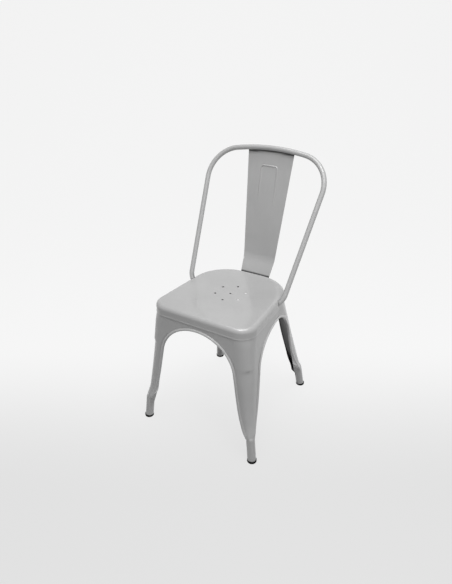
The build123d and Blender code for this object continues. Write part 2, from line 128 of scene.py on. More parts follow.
def piece(name, shells, slot, nodes, painted_highlight=None, grime=None):
    """One object from closed shells given in millimetres; it stands for the CAD nodes named. The two
    marks are shares from 0 to 1 for each point: a painted highlight that lightens the paint and painted shade
    that darkens it."""
    points, faces = joined(shells)
    mesh = bpy.data.meshes.new(name)
    mesh.from_pydata((points * MM).tolist(), [], faces)
    mesh.polygons.foreach_set("use_smooth", np.ones(len(faces), bool))
    mesh.set_sharp_from_angle(angle=CREASE_ANGLE)
    for mark, shares in (("painted_highlight", painted_highlight), ("grime", grime)):
        layer = mesh.attributes.new(mark, "FLOAT", "POINT")
        layer.data.foreach_set("value", np.zeros(len(points)) if shares is None else np.concatenate(shares))
    made = bpy.data.objects.new(name, mesh)
    bpy.context.scene.collection.objects.link(made)
    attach(made, "root")
    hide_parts(*nodes)
    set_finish(made, slot)
    print(f"{name}: {len(points)} points, {len(faces)} faces")
    return made


def mirrored(shells):
    """The same shells on the other side of the chair."""
    return [(points * (-1, 1, 1), faces) for points, faces in shells]


def smooth_step(value):
    """Share that leaves 0 and reaches 1 without a kink: three squares less two cubes of the value."""
    value = np.clip(value, 0, 1)
    return value * value * (3 - 2 * value)


def softened(values, spread):
    """Running Gaussian average of a table with one row per millimetre, which rounds its kinks."""
    reach = int(3 * spread)
    weights = np.exp(-0.5 * (np.arange(-reach, reach + 1) / spread) ** 2)
    weights /= weights.sum()
    return np.stack([np.convolve(column, weights, mode="valid") for column in values.T], axis=1)

# %% [markdown]
# ## Main sizes
# The seat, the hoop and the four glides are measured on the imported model, so this script follows
# it when it changes. Sheet thickness, laps and the leg's pressing are the maker's own sizes.

# %% Sizes read from the frame
def box_mm(node):
    """Lowest and highest corner of a CAD node, in millimetres."""
    low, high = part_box(node)
    return np.array(low) / MM, np.array(high) / MM


seat_low, seat_high = box_mm("seat_pan")
_, hoop_high = box_mm("back_hoop")
front_glide_low, front_glide_high = box_mm("floor_glide_front_right")
rear_glide_low, rear_glide_high = box_mm("floor_glide_rear_right")

SHEET = 1.2
LAP_GAP = 0.3
GLIDE_RADIUS = 14.7
GLIDE_HEIGHT = 8.0
seat_front_y, seat_rear_y = seat_low[1], seat_high[1]
skirt_edge, seat_rim = seat_low[2], seat_high[2]
front_foot = (front_glide_high[0] - GLIDE_RADIUS, front_glide_low[1] + GLIDE_RADIUS)
rear_foot = (rear_glide_high[0] - GLIDE_RADIUS, rear_glide_high[1] - GLIDE_RADIUS)
print("feet", np.round(front_foot, 1), np.round(rear_foot, 1), "rim", round(seat_rim, 1))

# %% [markdown]
# ## Legs
# Each leg is one pressing: a wide channel under the seat that narrows to a knee and rolls up into
# a round foot. In plan it is an end wing, a corner arc and a side wing. The corner circle shrinks
# on its way down, so a table of that circle for every millimetre of height describes the skin.

# %% Corner circles of the legs
LEG_LAP = 15.0
KNEE_HEIGHT = 140.0
ANKLE_HEIGHT = 92.0
FOOT_RADIUS = 13.5
KINK_ROUNDING = 6.0
SEAT_FRONT_CORNER = 50.0
SEAT_REAR_CORNER = 123.0
SEAT_REAR_HALF = 160.0
leg_top = skirt_edge + LEG_LAP

front_leg = SimpleNamespace(
    toward=-1,
    foot=front_foot,
    lean=np.tan(np.radians((6.3, 2.9))),
    corner=(seat_high[0] - SEAT_FRONT_CORNER, seat_front_y + SEAT_FRONT_CORNER, SEAT_FRONT_CORNER),
    tuck=(8.0, 8.0),
    knee_radius=21.5,
    lips=(32.0, 19.0),
    closing=(92.0, 54.0),
    corner_closing=(90.0, 82.0),
)
rear_leg = SimpleNamespace(
    toward=1,
    foot=rear_foot,
    lean=np.tan(np.radians((6.3, 9.6))),
    corner=(SEAT_REAR_HALF - SEAT_REAR_CORNER, seat_rear_y - SEAT_REAR_CORNER, SEAT_REAR_CORNER),
    tuck=(-5.0, 18.4),
    knee_radius=30.0,
    lips=(24.0, 25.0),
    closing=(70.0, 50.0),
    corner_closing=(92.0, 62.0),
)
both_legs = (front_leg, rear_leg)


def foot_axis(leg, height):
    """Centre of the leaning foot tube at a height: straight in x and y."""
    height = np.asarray(height, float)
    x = leg.foot[0] - height * leg.lean[0]
    return np.stack([x, leg.foot[1] - leg.toward * height * leg.lean[1]], axis=-1)


def circle_table(leg, heights):
    """Corner circle (x, y, radius): constant behind the skirt, below it a straight taper less a bow that
    is one parabola from skirt to knee and another to the ankle; the foot tube below. The caller rounds the
    kinks."""
    top = np.array(leg.corner) - (0, 0, SHEET + LAP_GAP)
    ankle = np.array([*foot_axis(leg, ANKLE_HEIGHT), FOOT_RADIUS])
    share = np.clip((skirt_edge - heights) / (skirt_edge - ANKLE_HEIGHT), 0, 1)
    knee_share = (skirt_edge - KNEE_HEIGHT) / (skirt_edge - ANKLE_HEIGHT)
    above = np.clip((heights - KNEE_HEIGHT) / (skirt_edge - KNEE_HEIGHT), 0, 1)
    below = np.clip((KNEE_HEIGHT - heights) / (KNEE_HEIGHT - ANKLE_HEIGHT), 0, 1)
    bow = 1 - above ** 2 - below ** 2
    straight_radius = top[2] + (FOOT_RADIUS - top[2]) * knee_share
    shift = np.array([-leg.tuck[0], -leg.toward * leg.tuck[1], leg.knee_radius - straight_radius])
    table = top + (ankle - top) * share[:, None] + shift * bow[:, None]
    foot = np.column_stack([foot_axis(leg, heights), np.full(len(heights), FOOT_RADIUS)])
    return np.where((heights < ANKLE_HEIGHT)[:, None], foot, table)


pad = int(3 * KINK_ROUNDING)
table_heights = np.arange(0, int(leg_top) + 2)
padded_heights = np.arange(-pad, int(leg_top) + 2 + pad).astype(float)
for leg in both_legs:
    leg.circles = softened(circle_table(leg, padded_heights), KINK_ROUNDING)
away = rear_leg.circles - front_leg.circles
side_turn = np.arctan2(away[:, 1], away[:, 0]) - np.arccos(-away[:, 2] / np.hypot(away[:, 0], away[:, 1]))


def circle_at(leg, height):
    """Corner circle and direction of the side wing's normal at any height, read from the tables."""
    x, y, radius = (np.interp(height, table_heights, leg.circles[:, k]) for k in range(3))
    return x, y, radius, np.interp(height, table_heights, side_turn)


print("front corner radius at knee", round(float(circle_at(front_leg, KNEE_HEIGHT)[2]), 1))

# %% [markdown]
# The front legs swell a little at their outer corners under the seat, and where the swelling ends
# each has a short crease, a mark left by the press. Both are worked into the skin itself, a few
# millimetres out and in.

# %% Skin of a leg
SIDE_ARCH_BEHIND_FRONT = 205.0
BULGE_ACROSS = 1.5
BULGE_SPREAD = 0.28
BULGE_BOTTOM = 301.0
BULGE_RISE = 13.0
BULGE_TOP = 12.0
BULGE_GROWTH = 45.0
front_leg.bulge, rear_leg.bulge = 3.2, 0.0
DENT_HEIGHT = 310.0
DENT_HALF_WIDTH = 6.0
DENT_HALF_HEIGHT = 3.0
DENT_ACROSS = 1.51
front_leg.dent, rear_leg.dent = 1.8, 0.0
side_split_y = seat_front_y + SIDE_ARCH_BEHIND_FRONT


def skin(leg, across, height):
    """Outer surface and its level outward direction. across is 0 to 1 over the end wing from the
    chair's middle, 1 to 2 round the corner arc and 2 to 3 over the side wing to the split."""
    across, height = np.broadcast_arrays(np.asarray(across, float), np.asarray(height, float))
    x, y, radius, turn = circle_at(leg, height)
    facing = leg.toward * np.pi / 2
    angle = facing + (turn - facing) * np.clip(across - 1, 0, 1)
    outward = np.stack([np.cos(angle), np.sin(angle), np.zeros_like(angle)], axis=-1)
    bend_y = y + radius * np.sin(turn)
    run = (side_split_y - bend_y) * np.clip(across - 2, 0, None)
    px = x * np.clip(across, None, 1) + radius * np.cos(angle) - run * np.tan(turn)
    py = y + radius * np.sin(angle) + run
    off_x = (across - DENT_ACROSS) * radius * (turn - facing) / DENT_HALF_WIDTH
    off_z = (height - DENT_HEIGHT) / DENT_HALF_HEIGHT
    dent = leg.dent * np.exp(-off_x ** 2 - off_z ** 2)
    risen = smooth_step((height - BULGE_BOTTOM) / BULGE_RISE)
    grown = smooth_step((skirt_edge + BULGE_TOP - height) / BULGE_GROWTH)
    bulge = leg.bulge * risen * grown * np.exp(-((across - BULGE_ACROSS) / BULGE_SPREAD) ** 2)
    return np.stack([px, py, height], axis=-1) + outward * (bulge - dent)[..., None], outward


def end_across(leg, x, height):
    """across of the skin point at a distance x from the chair's middle plane."""
    cx, _, radius, turn = circle_at(leg, height)
    past = np.arcsin(np.clip((x - cx) / radius, 0, 1))
    return np.where(x <= cx, x / cx, 1 + past / np.abs(turn - leg.toward * np.pi / 2))


def side_across(leg, y, height):
    """across of the skin point at a depth y on the chair's side."""
    _, cy, radius, turn = circle_at(leg, height)
    bend_y = cy + radius * np.sin(turn)
    facing = leg.toward * np.pi / 2
    on_arc = 1 + (np.arcsin(np.clip((y - cy) / radius, -1, 1)) - facing) / (turn - facing)
    straight = 2 + (y - bend_y) / (side_split_y - bend_y)
    return np.where((y - bend_y) * leg.toward <= 0, straight, on_arc)


print("side wings meet at a depth of", round(float(side_split_y), 1))

# %% [markdown]
# The gap between two legs is an arch: a quarter ellipse from the crown, then one long curve down to
# the ankle that leaves the ellipse without a kink. Both arches of a leg are cut this way.

# %% Arch edges
ARCH_SPRING_ANGLE = np.radians(9.0)
ARCH_SAMPLES = 300
ARCH_ROWS = 120
FOOT_ROWS = 40
FLARE_START_REACH = 0.5
FLARE_END_REACH = 0.2
front_leg.end_arch = (127.0, 117.5, skirt_edge - 18.5)
front_leg.side_arch = (140.5, 103.0, skirt_edge - 28.0)
front_leg.wings = (11.0, 6.5)
front_leg.flares = np.radians((42.0, 42.0))
rear_leg.end_arch = (96.5, 96.5, skirt_edge - 29.5)
rear_leg.side_arch = (79.0, 113.0, skirt_edge - 28.0)
rear_leg.wings = (22.0, 12.0)
rear_leg.flares = np.radians((17.0, 50.0))
ANKLE_ROUNDING = 3.0
ANKLE_ROWS = 12.0
ACROSS_STEP = 0.001
HEIGHT_STEP = 0.1
front_leg.rounded, rear_leg.rounded = False, True


def evenly(points, count):
    """The same line with its points spaced evenly along it."""
    steps = np.hypot(*np.diff(points, axis=0).T)
    length = np.concatenate([[0], np.cumsum(steps)])
    place = np.linspace(0, length[-1], count)
    return np.stack([np.interp(place, length, points[:, k]) for k in range(2)], axis=1)


def arch_edge(arch, ankle, flare):
    """Half an arch as (offset, height): an ellipse from its crown to the spring angle, then a cubic curve
    that leaves the ellipse without a kink and reaches the ankle at the flare angle."""
    span, rise, crown = arch
    angle = np.linspace(np.pi / 2, ARCH_SPRING_ANGLE, ARCH_SAMPLES)
    ellipse = np.column_stack([span * np.cos(angle), crown - rise + rise * np.sin(angle)])
    start, end = ellipse[-1], np.array([ankle, ANKLE_HEIGHT])
    chord = np.hypot(*(end - start))
    heading = np.array([span * np.sin(ARCH_SPRING_ANGLE), -rise * np.cos(ARCH_SPRING_ANGLE)])
    leaving = start + heading / np.hypot(*heading) * FLARE_START_REACH * chord
    arriving = end - np.array([np.sin(flare), -np.cos(flare)]) * FLARE_END_REACH * chord
    t = np.linspace(0, 1, ARCH_SAMPLES)[1:, None]
    rest = 1 - t
    curve = rest ** 3 * start + 3 * t * rest ** 2 * leaving
    curve = curve + 3 * t ** 2 * rest * arriving + t ** 3 * end
    return evenly(np.concatenate([ellipse, curve]), ARCH_ROWS)


def eased(line):
    """The line with its kink at the ankle rounded by a running average, and unchanged away from there."""
    reach = int(3 * ANKLE_ROUNDING)
    before, after = 2 * line[0] - line[reach:0:-1], 2 * line[-1] - line[-2:-reach - 2:-1]
    smooth = softened(np.concatenate([before, line, after]), ANKLE_ROUNDING)
    near = np.exp(-((np.arange(len(line)) - ARCH_ROWS + 1) / ANKLE_ROWS) ** 2)
    return line + (smooth - line) * near[:, None]


def leg_edges(leg):
    """across and height of both edges of a leg, row by row from the crowns to the floor glide."""
    x, y = foot_axis(leg, ANKLE_HEIGHT)
    low = np.linspace(ANKLE_HEIGHT, GLIDE_HEIGHT, FOOT_ROWS)[1:]
    end = arch_edge(leg.end_arch, x - leg.wings[0], leg.flares[0])
    end_low = foot_axis(leg, low)[:, 0] - leg.wings[0]
    end_x = np.concatenate([end[:, 0], end_low])
    end_z = np.concatenate([end[:, 1], low])
    side = arch_edge(leg.side_arch, abs(y - side_split_y) - leg.wings[1], leg.flares[1])
    side_low = foot_axis(leg, low)[:, 1] - leg.toward * leg.wings[1]
    side_y = np.concatenate([side_split_y + leg.toward * side[:, 0], side_low])
    side_z = np.concatenate([side[:, 1], low])
    if leg.rounded:
        end_x, end_z = eased(np.column_stack([end_x, end_z])).T
        side_y, side_z = eased(np.column_stack([side_y, side_z])).T
    return (end_across(leg, end_x, end_z), end_z), (side_across(leg, side_y, side_z), side_z)


def edge_frame(leg, across, height, inward):
    """Along an edge on the skin: point, outward direction, and the change of (across, height) for one
    millimetre into the leg, square to the edge. inward is the sign of that change in across."""
    point, outward = skin(leg, across, height)
    ahead, behind = (skin(leg, across + step, height)[0] for step in (ACROSS_STEP, -ACROSS_STEP))
    above, below = (skin(leg, across, height + step)[0] for step in (HEIGHT_STEP, -HEIGHT_STEP))
    by_across = (ahead - behind) / (2 * ACROSS_STEP)
    by_height = (above - below) / (2 * HEIGHT_STEP)
    along = np.gradient(point, axis=0)
    along /= np.linalg.norm(along, axis=1)[:, None]
    aa, ah, hh = (np.sum(p * q, axis=1) for p, q in
                  ((by_across, by_across), (by_across, by_height), (by_height, by_height)))
    level = by_across / np.sqrt(aa)[:, None]
    rising = by_height - level * np.sum(by_height * level, axis=1)[:, None]
    rising /= np.linalg.norm(rising, axis=1)[:, None]
    a, b = np.sum(along * level, axis=1), np.sum(along * rising, axis=1)
    square = inward * (rising * a[:, None] - level * b[:, None])
    wa, wh = np.sum(square * by_across, axis=1), np.sum(square * by_height, axis=1)
    det = aa * hh - ah ** 2
    return point, outward, (wa * hh - wh * ah) / det, (wh * aa - wa * ah) / det


print("points along each edge:", ARCH_ROWS + FOOT_ROWS - 1)

# %% [markdown]
# A cut edge of thin sheet would be sharp and weak, so the arches are hemmed: the edge is turned in
# as a lip, deeper near the ankle, where the channel closes. Skin and lips are one grid, so that the
# sheet bends at the edge as the real one does.

# %% Channel and its lips
LIP_WIDTH = 1.8
LIP_DEPTH = 2.5
LIP_DEEPENS_BELOW = 220.0
LIP_CURVES = (3.4, 1.8)
LIP_COLUMNS = 6
SKIN_COLUMNS = 72


def lip_depth(height, ankle_depth, curve):
    """Depth of a lip: even high up, then it grows with a power of the share of the way to the ankle."""
    share = np.clip((LIP_DEEPENS_BELOW - height) / (LIP_DEEPENS_BELOW - ANKLE_HEIGHT), 0, 1)
    return LIP_DEPTH + (ankle_depth - LIP_DEPTH) * share ** curve


def channel_rows(leg):
    """Outside and inside of the channel: each row runs up one lip, across the skin and down the other."""
    columns = np.linspace(0, 1, SKIN_COLUMNS)
    lip_share = np.linspace(0, 1, LIP_COLUMNS, endpoint=False)
    sides, inner_edges = [], []
    for (across, height), inward, ankle_depth, curve in zip(leg_edges(leg), (1, -1), leg.lips, LIP_CURVES):
        point, outward, by_across, by_height = edge_frame(leg, across, height, inward)
        inner = (across + by_across * LIP_WIDTH, height + by_height * LIP_WIDTH)
        inner_point = skin(leg, *inner)[0]
        full = lip_depth(height, ankle_depth, curve)[:, None]
        depth = full * (1 - lip_share)
        inner_depth = SHEET + (full - SHEET) * (1 - lip_share)
        outer_lip = point[:, None] - outward[:, None] * depth[..., None]
        inner_lip = inner_point[:, None] - outward[:, None] * inner_depth[..., None]
        sides.append((across, height, outer_lip, inner_lip))
        inner_edges.append(inner)
    grids = []
    for (a0, z0), (a1, z1), drop in ((sides[0][:2], sides[1][:2], 0), (*inner_edges, SHEET)):
        across = a0[:, None] + (a1 - a0)[:, None] * columns
        point, outward = skin(leg, across, z0[:, None] + (z1 - z0)[:, None] * columns)
        grids.append(point - outward * drop)
    outside = np.concatenate([sides[0][2], grids[0], sides[1][2][:, ::-1]], axis=1)
    inside = np.concatenate([sides[0][3], grids[1], sides[1][3][:, ::-1]], axis=1)
    return outside, inside


print("columns over lips and skin:", SKIN_COLUMNS + 2 * LIP_COLUMNS)

# %% [markdown]
# Below the ankle the lips and wings curl round until they meet as a tube, with a seam that gapes
# towards the middle of the chair. The rows there are laid out twice, as channel and as tube, and
# each column goes over from one to the other between two heights of its own.

# %% Foot tube and the whole skin
SLOT_BOTTOM = 34.0
SLOT_HALF_WIDTH = 10.5
SLOT_LEAST = 0.01
LEDGE_HEIGHT = 86.0
LEDGE_STEP = 5.0
LEDGE_FADE = 25.0
LEDGE_SPREAD = 4.0
LEDGE_START = 0.75
front_leg.ledge, rear_leg.ledge = 2.2, 0.0


def rolled_rows(leg, heights, reference, across):
    """The same columns wrapped on the foot tube: the corner arc keeps its place, and the wings and lips
    share out what is left of the circle by their length, up to the two sides of the gaping seam."""
    facing = leg.toward * np.pi / 2
    turn = np.interp(ANKLE_HEIGHT, table_heights, side_turn)
    way = np.sign(turn - facing)
    middle = foot_axis(leg, ANKLE_HEIGHT)
    seam = np.arctan2(side_split_y - middle[1], -middle[0])
    opened = np.clip((heights - SLOT_BOTTOM) / (ANKLE_HEIGHT - SLOT_BOTTOM), SLOT_LEAST, 1)
    gape = way * np.arcsin(SLOT_HALF_WIDTH / FOOT_RADIUS * opened)[:, None]
    steps = np.linalg.norm(np.diff(reference, axis=0), axis=1)
    length = np.concatenate([[0], np.cumsum(steps)])
    skin_part = slice(LIP_COLUMNS, LIP_COLUMNS + SKIN_COLUMNS)
    first, last = np.interp((1, 2), across, length[skin_part])
    before = np.clip(1 - length / first, 0, 1)
    behind = np.clip((length - last) / (length[-1] - last), 0, 1)
    round_arc = facing + (turn - facing) * np.clip((length - first) / (last - first), 0, 1)
    angles = round_arc + before * (seam - way * 2 * np.pi + gape - facing) + behind * (seam - gape - turn)
    direction = np.stack([np.cos(angles), np.sin(angles)], axis=-1)
    axis = foot_axis(leg, heights)[:, None]
    level = np.broadcast_to(heights[:, None, None], angles.shape + (1,))
    radii = (FOOT_RADIUS, FOOT_RADIUS - SHEET)
    return [np.concatenate([axis + direction * radius, level], axis=-1) for radius in radii]


def closing_heights(leg):
    """Heights where each column starts and ends to close: bent corners early, free edges of lips late."""
    lip = np.linspace(1, 0, LIP_COLUMNS, endpoint=False)
    free = np.concatenate([lip, np.zeros(SKIN_COLUMNS), lip[::-1]])
    return [corner + free * (lip_end - corner) for corner, lip_end in zip(leg.corner_closing, leg.closing)]


def above_ledge(leg, grid):
    """The grid with its outer corner drawn in just above the foot tube, which leaves a small ledge there:
    full depth one step above the ledge's height, fading upward, most along the corner's diagonal."""
    height = grid[..., 2]
    from_axis = grid[..., :2] - foot_axis(leg, height)
    from_axis = from_axis / np.linalg.norm(from_axis, axis=-1)[..., None]
    diagonal = from_axis @ np.array([1, leg.toward]) / np.sqrt(2)
    facing = smooth_step(LEDGE_SPREAD * (diagonal - LEDGE_START))
    risen = smooth_step((height - LEDGE_HEIGHT) / LEDGE_STEP)
    faded = smooth_step((height - LEDGE_HEIGHT - LEDGE_STEP) / LEDGE_FADE)
    recess = leg.ledge * facing * risen * (1 - faded)
    return np.concatenate([grid[..., :2] - from_axis * recess[..., None], height[..., None]], axis=-1)


def leg_skin(leg):
    """Outside and inside of a whole leg: the channel's rows, which go over to the tube's at the foot."""
    outside, inside = channel_rows(leg)
    foot = slice(ARCH_ROWS - 1, None)
    heights = np.linspace(ANKLE_HEIGHT, GLIDE_HEIGHT, FOOT_ROWS)
    (end_edge, _), (side_edge, _) = leg_edges(leg)
    across = np.linspace(end_edge[ARCH_ROWS - 1], side_edge[ARCH_ROWS - 1], SKIN_COLUMNS)
    tube_outside, tube_inside = rolled_rows(leg, heights, outside[ARCH_ROWS - 1], across)
    begins, ends = closing_heights(leg)
    close = smooth_step((begins - heights[:, None]) / (begins - ends))[..., None]
    outside[foot] = outside[foot] * (1 - close) + tube_outside * close
    inside[foot] = inside[foot] * (1 - close) + tube_inside * close
    return above_ledge(leg, outside), above_ledge(leg, inside)


for leg in both_legs:
    leg.outside, leg.inside = leg_skin(leg)
    print("leg rows and columns", leg.outside.shape[:2])

# %% [markdown]
# Above the arches the two wings reach up behind the seat's skirt, where they are welded. A rolled
# bead runs along each arch. It is a profile of a few millimetres carried along the edge, which
# flattens on its way down and ends in a round tip just above the ankle.

# %% Upper bands and beads
BAND_ROWS = 14
BEAD_WIDTH = 8.5
BEAD_HEIGHT = 3.4
BEAD_OVERHANG = 0.8
BEAD_ROLL_DEPTH = 2.6
BEAD_SUNK = 0.4
BEAD_TIP_LENGTH = 3.0
BEAD_TIP_LEAST = 0.02
BEAD_EDGE = 0.6
BEAD_ROLL_TOP = 0.2
BEAD_ROLL_START = 3
BEAD_BACK = 0.6
BEAD_POINTS = 22
# Shares of painted highlight on the bead's crest, and of painted shade at its foot, on its flank near the
# edge and under its roll.
CREST_HIGHLIGHT_MIDDLE = 0.42
CREST_HIGHLIGHT_SPREAD = 0.18
ROLL_SHADE = 0.5
BEAD_FOOT_SHADE = 0.3
FLANK_SHADE = 0.45
FLANK_START = 0.62
BEAD_SHADE_FADE = 0.2
front_leg.bead_end, rear_leg.bead_end = 0.35, 0.1
front_leg.runout, rear_leg.runout = 140.0, 60.0


def upper_band(leg):
    """Sheet between the seat's skirt and the crown row: heights go evenly from one to the other."""
    columns = np.linspace(0, 3, SKIN_COLUMNS)
    crowns = leg.end_arch[2] + (leg.side_arch[2] - leg.end_arch[2]) * columns / 3
    share = np.linspace(0, 1, BAND_ROWS)[:, None]
    point, outward = skin(leg, np.broadcast_to(columns, (BAND_ROWS, SKIN_COLUMNS)),
                          leg_top + (crowns - leg_top) * share)
    return slab(point, point - outward * SHEET)


def bead_profile():
    """Closed outline (into the leg, outward): a half-oval crest, rolled round the cut edge and back.
    With it go the shares of painted highlight, most on the crest, and of painted shade, most under the roll."""
    share = np.linspace(0, 1, BEAD_POINTS)
    edge = -BEAD_EDGE * BEAD_OVERHANG
    crest_d = edge + (BEAD_WIDTH - edge) * (1 + np.cos(np.pi * share)) / 2
    crest_h = BEAD_HEIGHT * np.sin(np.pi * share) - BEAD_SUNK * (1 - share)
    angle = np.linspace(np.pi / 2, 3 * np.pi / 2, BEAD_POINTS)
    middle = (BEAD_ROLL_TOP - BEAD_ROLL_DEPTH) / 2
    roll_d = -BEAD_OVERHANG * np.sin(angle - np.pi / 2)
    roll_h = middle + (BEAD_ROLL_TOP - middle) * np.cos(angle - np.pi / 2)
    back_d = np.array([BEAD_BACK, BEAD_BACK])
    back_h = np.array([-BEAD_ROLL_DEPTH, -2 * BEAD_SUNK])
    into = np.concatenate([crest_d[:-1], roll_d[BEAD_ROLL_START:], back_d, [BEAD_WIDTH]])
    lift = np.concatenate([crest_h[:-1], roll_h[BEAD_ROLL_START:], back_h, [-2 * BEAD_SUNK]])
    crest = share[:-1]
    painted_highlight = np.zeros(len(into))
    painted_highlight[:BEAD_POINTS - 1] = np.exp(-((crest - CREST_HIGHLIGHT_MIDDLE) / CREST_HIGHLIGHT_SPREAD) ** 2)
    grime = np.full(len(into), ROLL_SHADE)
    foot = 1 - smooth_step(crest / BEAD_SHADE_FADE)
    flank = smooth_step((crest - FLANK_START) / BEAD_SHADE_FADE)
    grime[:BEAD_POINTS - 1] = BEAD_FOOT_SHADE * foot + FLANK_SHADE * flank
    return into, lift, painted_highlight, grime


def bead(leg, which):
    """The bead profile carried along one arch edge; it flattens over its run-out and closes to a round
    tip at the ankle, a quarter circle of the length that is left."""
    across, height = (line[:ARCH_ROWS] for line in leg_edges(leg)[which])
    point, _, by_across, by_height = edge_frame(leg, across, height, (1, -1)[which])
    left = np.concatenate([np.cumsum(np.linalg.norm(np.diff(point, axis=0), axis=1)[::-1])[::-1], [0]])
    tip = np.clip(left / BEAD_TIP_LENGTH, BEAD_TIP_LEAST, 1)
    size = np.sqrt(1 - (1 - tip) ** 2)[:, None]
    into, lift, _, _ = bead_profile()
    flat = leg.bead_end + (1 - leg.bead_end) * smooth_step(left / leg.runout)[:, None]
    into, lift = into * size, np.where(lift > 0, lift * size * flat, lift)
    across = across[:, None] + by_across[:, None] * into
    height = height[:, None] + by_height[:, None] * into
    base, outward = skin(leg, across, height)
    return rod(base + outward * lift[..., None])


print("points round a bead:", len(bead_profile()[0]))

# %% [markdown]
# The beads are painted lighter along their crests as a painted highlight, and painted shade darkens
# the hollows beside them, the crease, the lips and the inside of the channel. Every point carries its
# share of both, worked out from its place on the leg, and the paint reads both later. The left legs are the
# right ones mirrored.

# %% Painted highlight and shade, and the four legs
PAINTED_LIGHT_FULL_ABOVE = 260.0
PAINTED_LIGHT_FADE = 90.0
LOW_PAINTED_LIGHT = 0.15
CREASE_SHADE = 0.18
HOLLOW_SHADE = 0.3
HOLLOW_FROM_EDGE = 10.5
HOLLOW_HALF_WIDTH = 3.5
SIDE_WING_SHADE = 0.1
SIDE_LIP_SHADE = 0.1
front_leg.lip_grime, rear_leg.lip_grime = 0.25, 0.6


def lower_share(height):
    """Share of painted highlight and painted shade along the arches: full high up, little near the foot."""
    return LOW_PAINTED_LIGHT + (1 - LOW_PAINTED_LIGHT) * smooth_step((height - PAINTED_LIGHT_FULL_ABOVE) / PAINTED_LIGHT_FADE)


def skin_shade(leg):
    """Painted shade on the skin: inside the channel it grows evenly from the side wing to the end wing, part
    of it is on the lips, and outside it lies in the crease and as a faint band in the hollow beside each
    bead, a bell curve of the distance from the nearer edge along the row."""
    steps = np.linalg.norm(np.diff(leg.outside[:, LIP_COLUMNS:-LIP_COLUMNS], axis=1), axis=2)
    length = np.concatenate([np.zeros((len(steps), 1)), np.cumsum(steps, axis=1)], axis=1)
    nearer = np.minimum(length, length[:, -1:] - length)
    hollow = HOLLOW_SHADE * np.exp(-((nearer - HOLLOW_FROM_EDGE) / HOLLOW_HALF_WIDTH) ** 2)
    hollow *= lower_share(leg.outside[:, LIP_COLUMNS:-LIP_COLUMNS, 2])
    off = leg.outside - skin(leg, DENT_ACROSS, DENT_HEIGHT)[0]
    off = off / (DENT_HALF_WIDTH, DENT_HALF_WIDTH, DENT_HALF_HEIGHT)
    crease = CREASE_SHADE * leg.dent * np.exp(-np.sum(off ** 2, axis=-1))
    outside = crease + np.pad(hollow, ((0, 0), (LIP_COLUMNS, LIP_COLUMNS)))
    lip = leg.lip_grime * smooth_step((leg.outside[..., 2] - SLOT_BOTTOM) / SLOT_BOTTOM)
    lip[:, LIP_COLUMNS:] = 0
    lip[:, -LIP_COLUMNS:] = SIDE_LIP_SHADE
    outside += lip
    inside = np.broadcast_to(np.linspace(SIDE_WING_SHADE, 1, outside.shape[1]), outside.shape)
    return np.concatenate([outside, inside], axis=1).ravel()


for end, leg in (("front", front_leg), ("rear", rear_leg)):
    shells = [slab(leg.outside, leg.inside), upper_band(leg), bead(leg, 0), bead(leg, 1)]
    plain = [np.zeros(len(points)) for points, _ in shells]
    _, _, bead_highlight, bead_shade = bead_profile()
    height_shares = [lower_share(points[:, 2]) for points, _ in shells[2:]]
    # Painted highlight on the bead crests; painted shade on the skin, in the channel and under the beads.
    painted_highlight = plain[:2] + [np.tile(bead_highlight, ARCH_ROWS) * share for share in height_shares]
    grime = [skin_shade(leg), plain[1]] + [np.tile(bead_shade, ARCH_ROWS) * share for share in height_shares]
    piece(f"pressed_leg_{end}_right", shells, "grey_paint", [f"leg_{end}_right"], painted_highlight, grime)
    piece(f"pressed_leg_{end}_left", mirrored(shells), "grey_paint", [f"leg_{end}_left"], painted_highlight, grime)

# %% [markdown]
# ## Seat pan
# One sheet: a skirt with a small rolled hem, a large round front edge and a shallow dish. Its
# outline is four corner arcs joined by straight lines. The sheet is that outline carried inwards
# along a profile, first by a set distance for skirt and roll, then by shrinking towards the middle
# for the dish.

# %% Seat outline and sheet
SEAT_ROLL = 14.0
DISH_DEPTH = 10.0
OUTLINE_POINTS = 320
DISH_ROWS = 36
ROLL_ROWS = 14
HEM_BULGE = 0.5
HEM_HIGHLIGHT = 0.35
HEM_HEIGHT = 4.5
HEM_MIDDLE = 1.5
HEM_ROWS = 22
CORNER_SAMPLES = 400
seat_middle = np.array([0, (seat_front_y + seat_rear_y) / 2])


def seat_outline():
    """Outline points and their outward normals, evenly spaced: right half by corner arcs, left mirrored."""
    front, rear = (np.array(leg.corner) for leg in both_legs)
    gap = rear - front
    turn = np.arctan2(gap[1], gap[0]) - np.arccos(-gap[2] / np.hypot(gap[0], gap[1]))
    arcs = []
    for (x, y, radius), first, last in ((front, -np.pi / 2, turn), (rear, turn, np.pi / 2)):
        angle = np.linspace(first, last, CORNER_SAMPLES)
        normal = np.column_stack([np.cos(angle), np.sin(angle)])
        arcs.append((np.array([x, y]) + radius * normal, normal))
    ends = [np.array([0, arc[0][row, 1]]) for arc, row in ((arcs[0], 0), (arcs[1], -1))]
    points = np.concatenate([[ends[0]], arcs[0][0], arcs[1][0], [ends[1]]])
    normals = np.concatenate([[[0, -1]], arcs[0][1], arcs[1][1], [[0, 1]]])
    length = np.concatenate([[0], np.cumsum(np.hypot(*np.diff(points, axis=0).T))])
    place = np.linspace(0, length[-1], OUTLINE_POINTS // 2 + 1)
    half = [np.stack([np.interp(place, length, line[:, k]) for k in (0, 1)], axis=1)
            for line in (points, normals)]
    both = [np.concatenate([line, line[-2:0:-1] * (-1, 1)]) for line in half]
    return both[0], both[1] / np.linalg.norm(both[1], axis=1)[:, None]


def hem_share(height):
    """Bell curve of the height, full at the middle of the hem."""
    return np.exp(-((height - skirt_edge - HEM_MIDDLE) / (HEM_HEIGHT / 2)) ** 2)


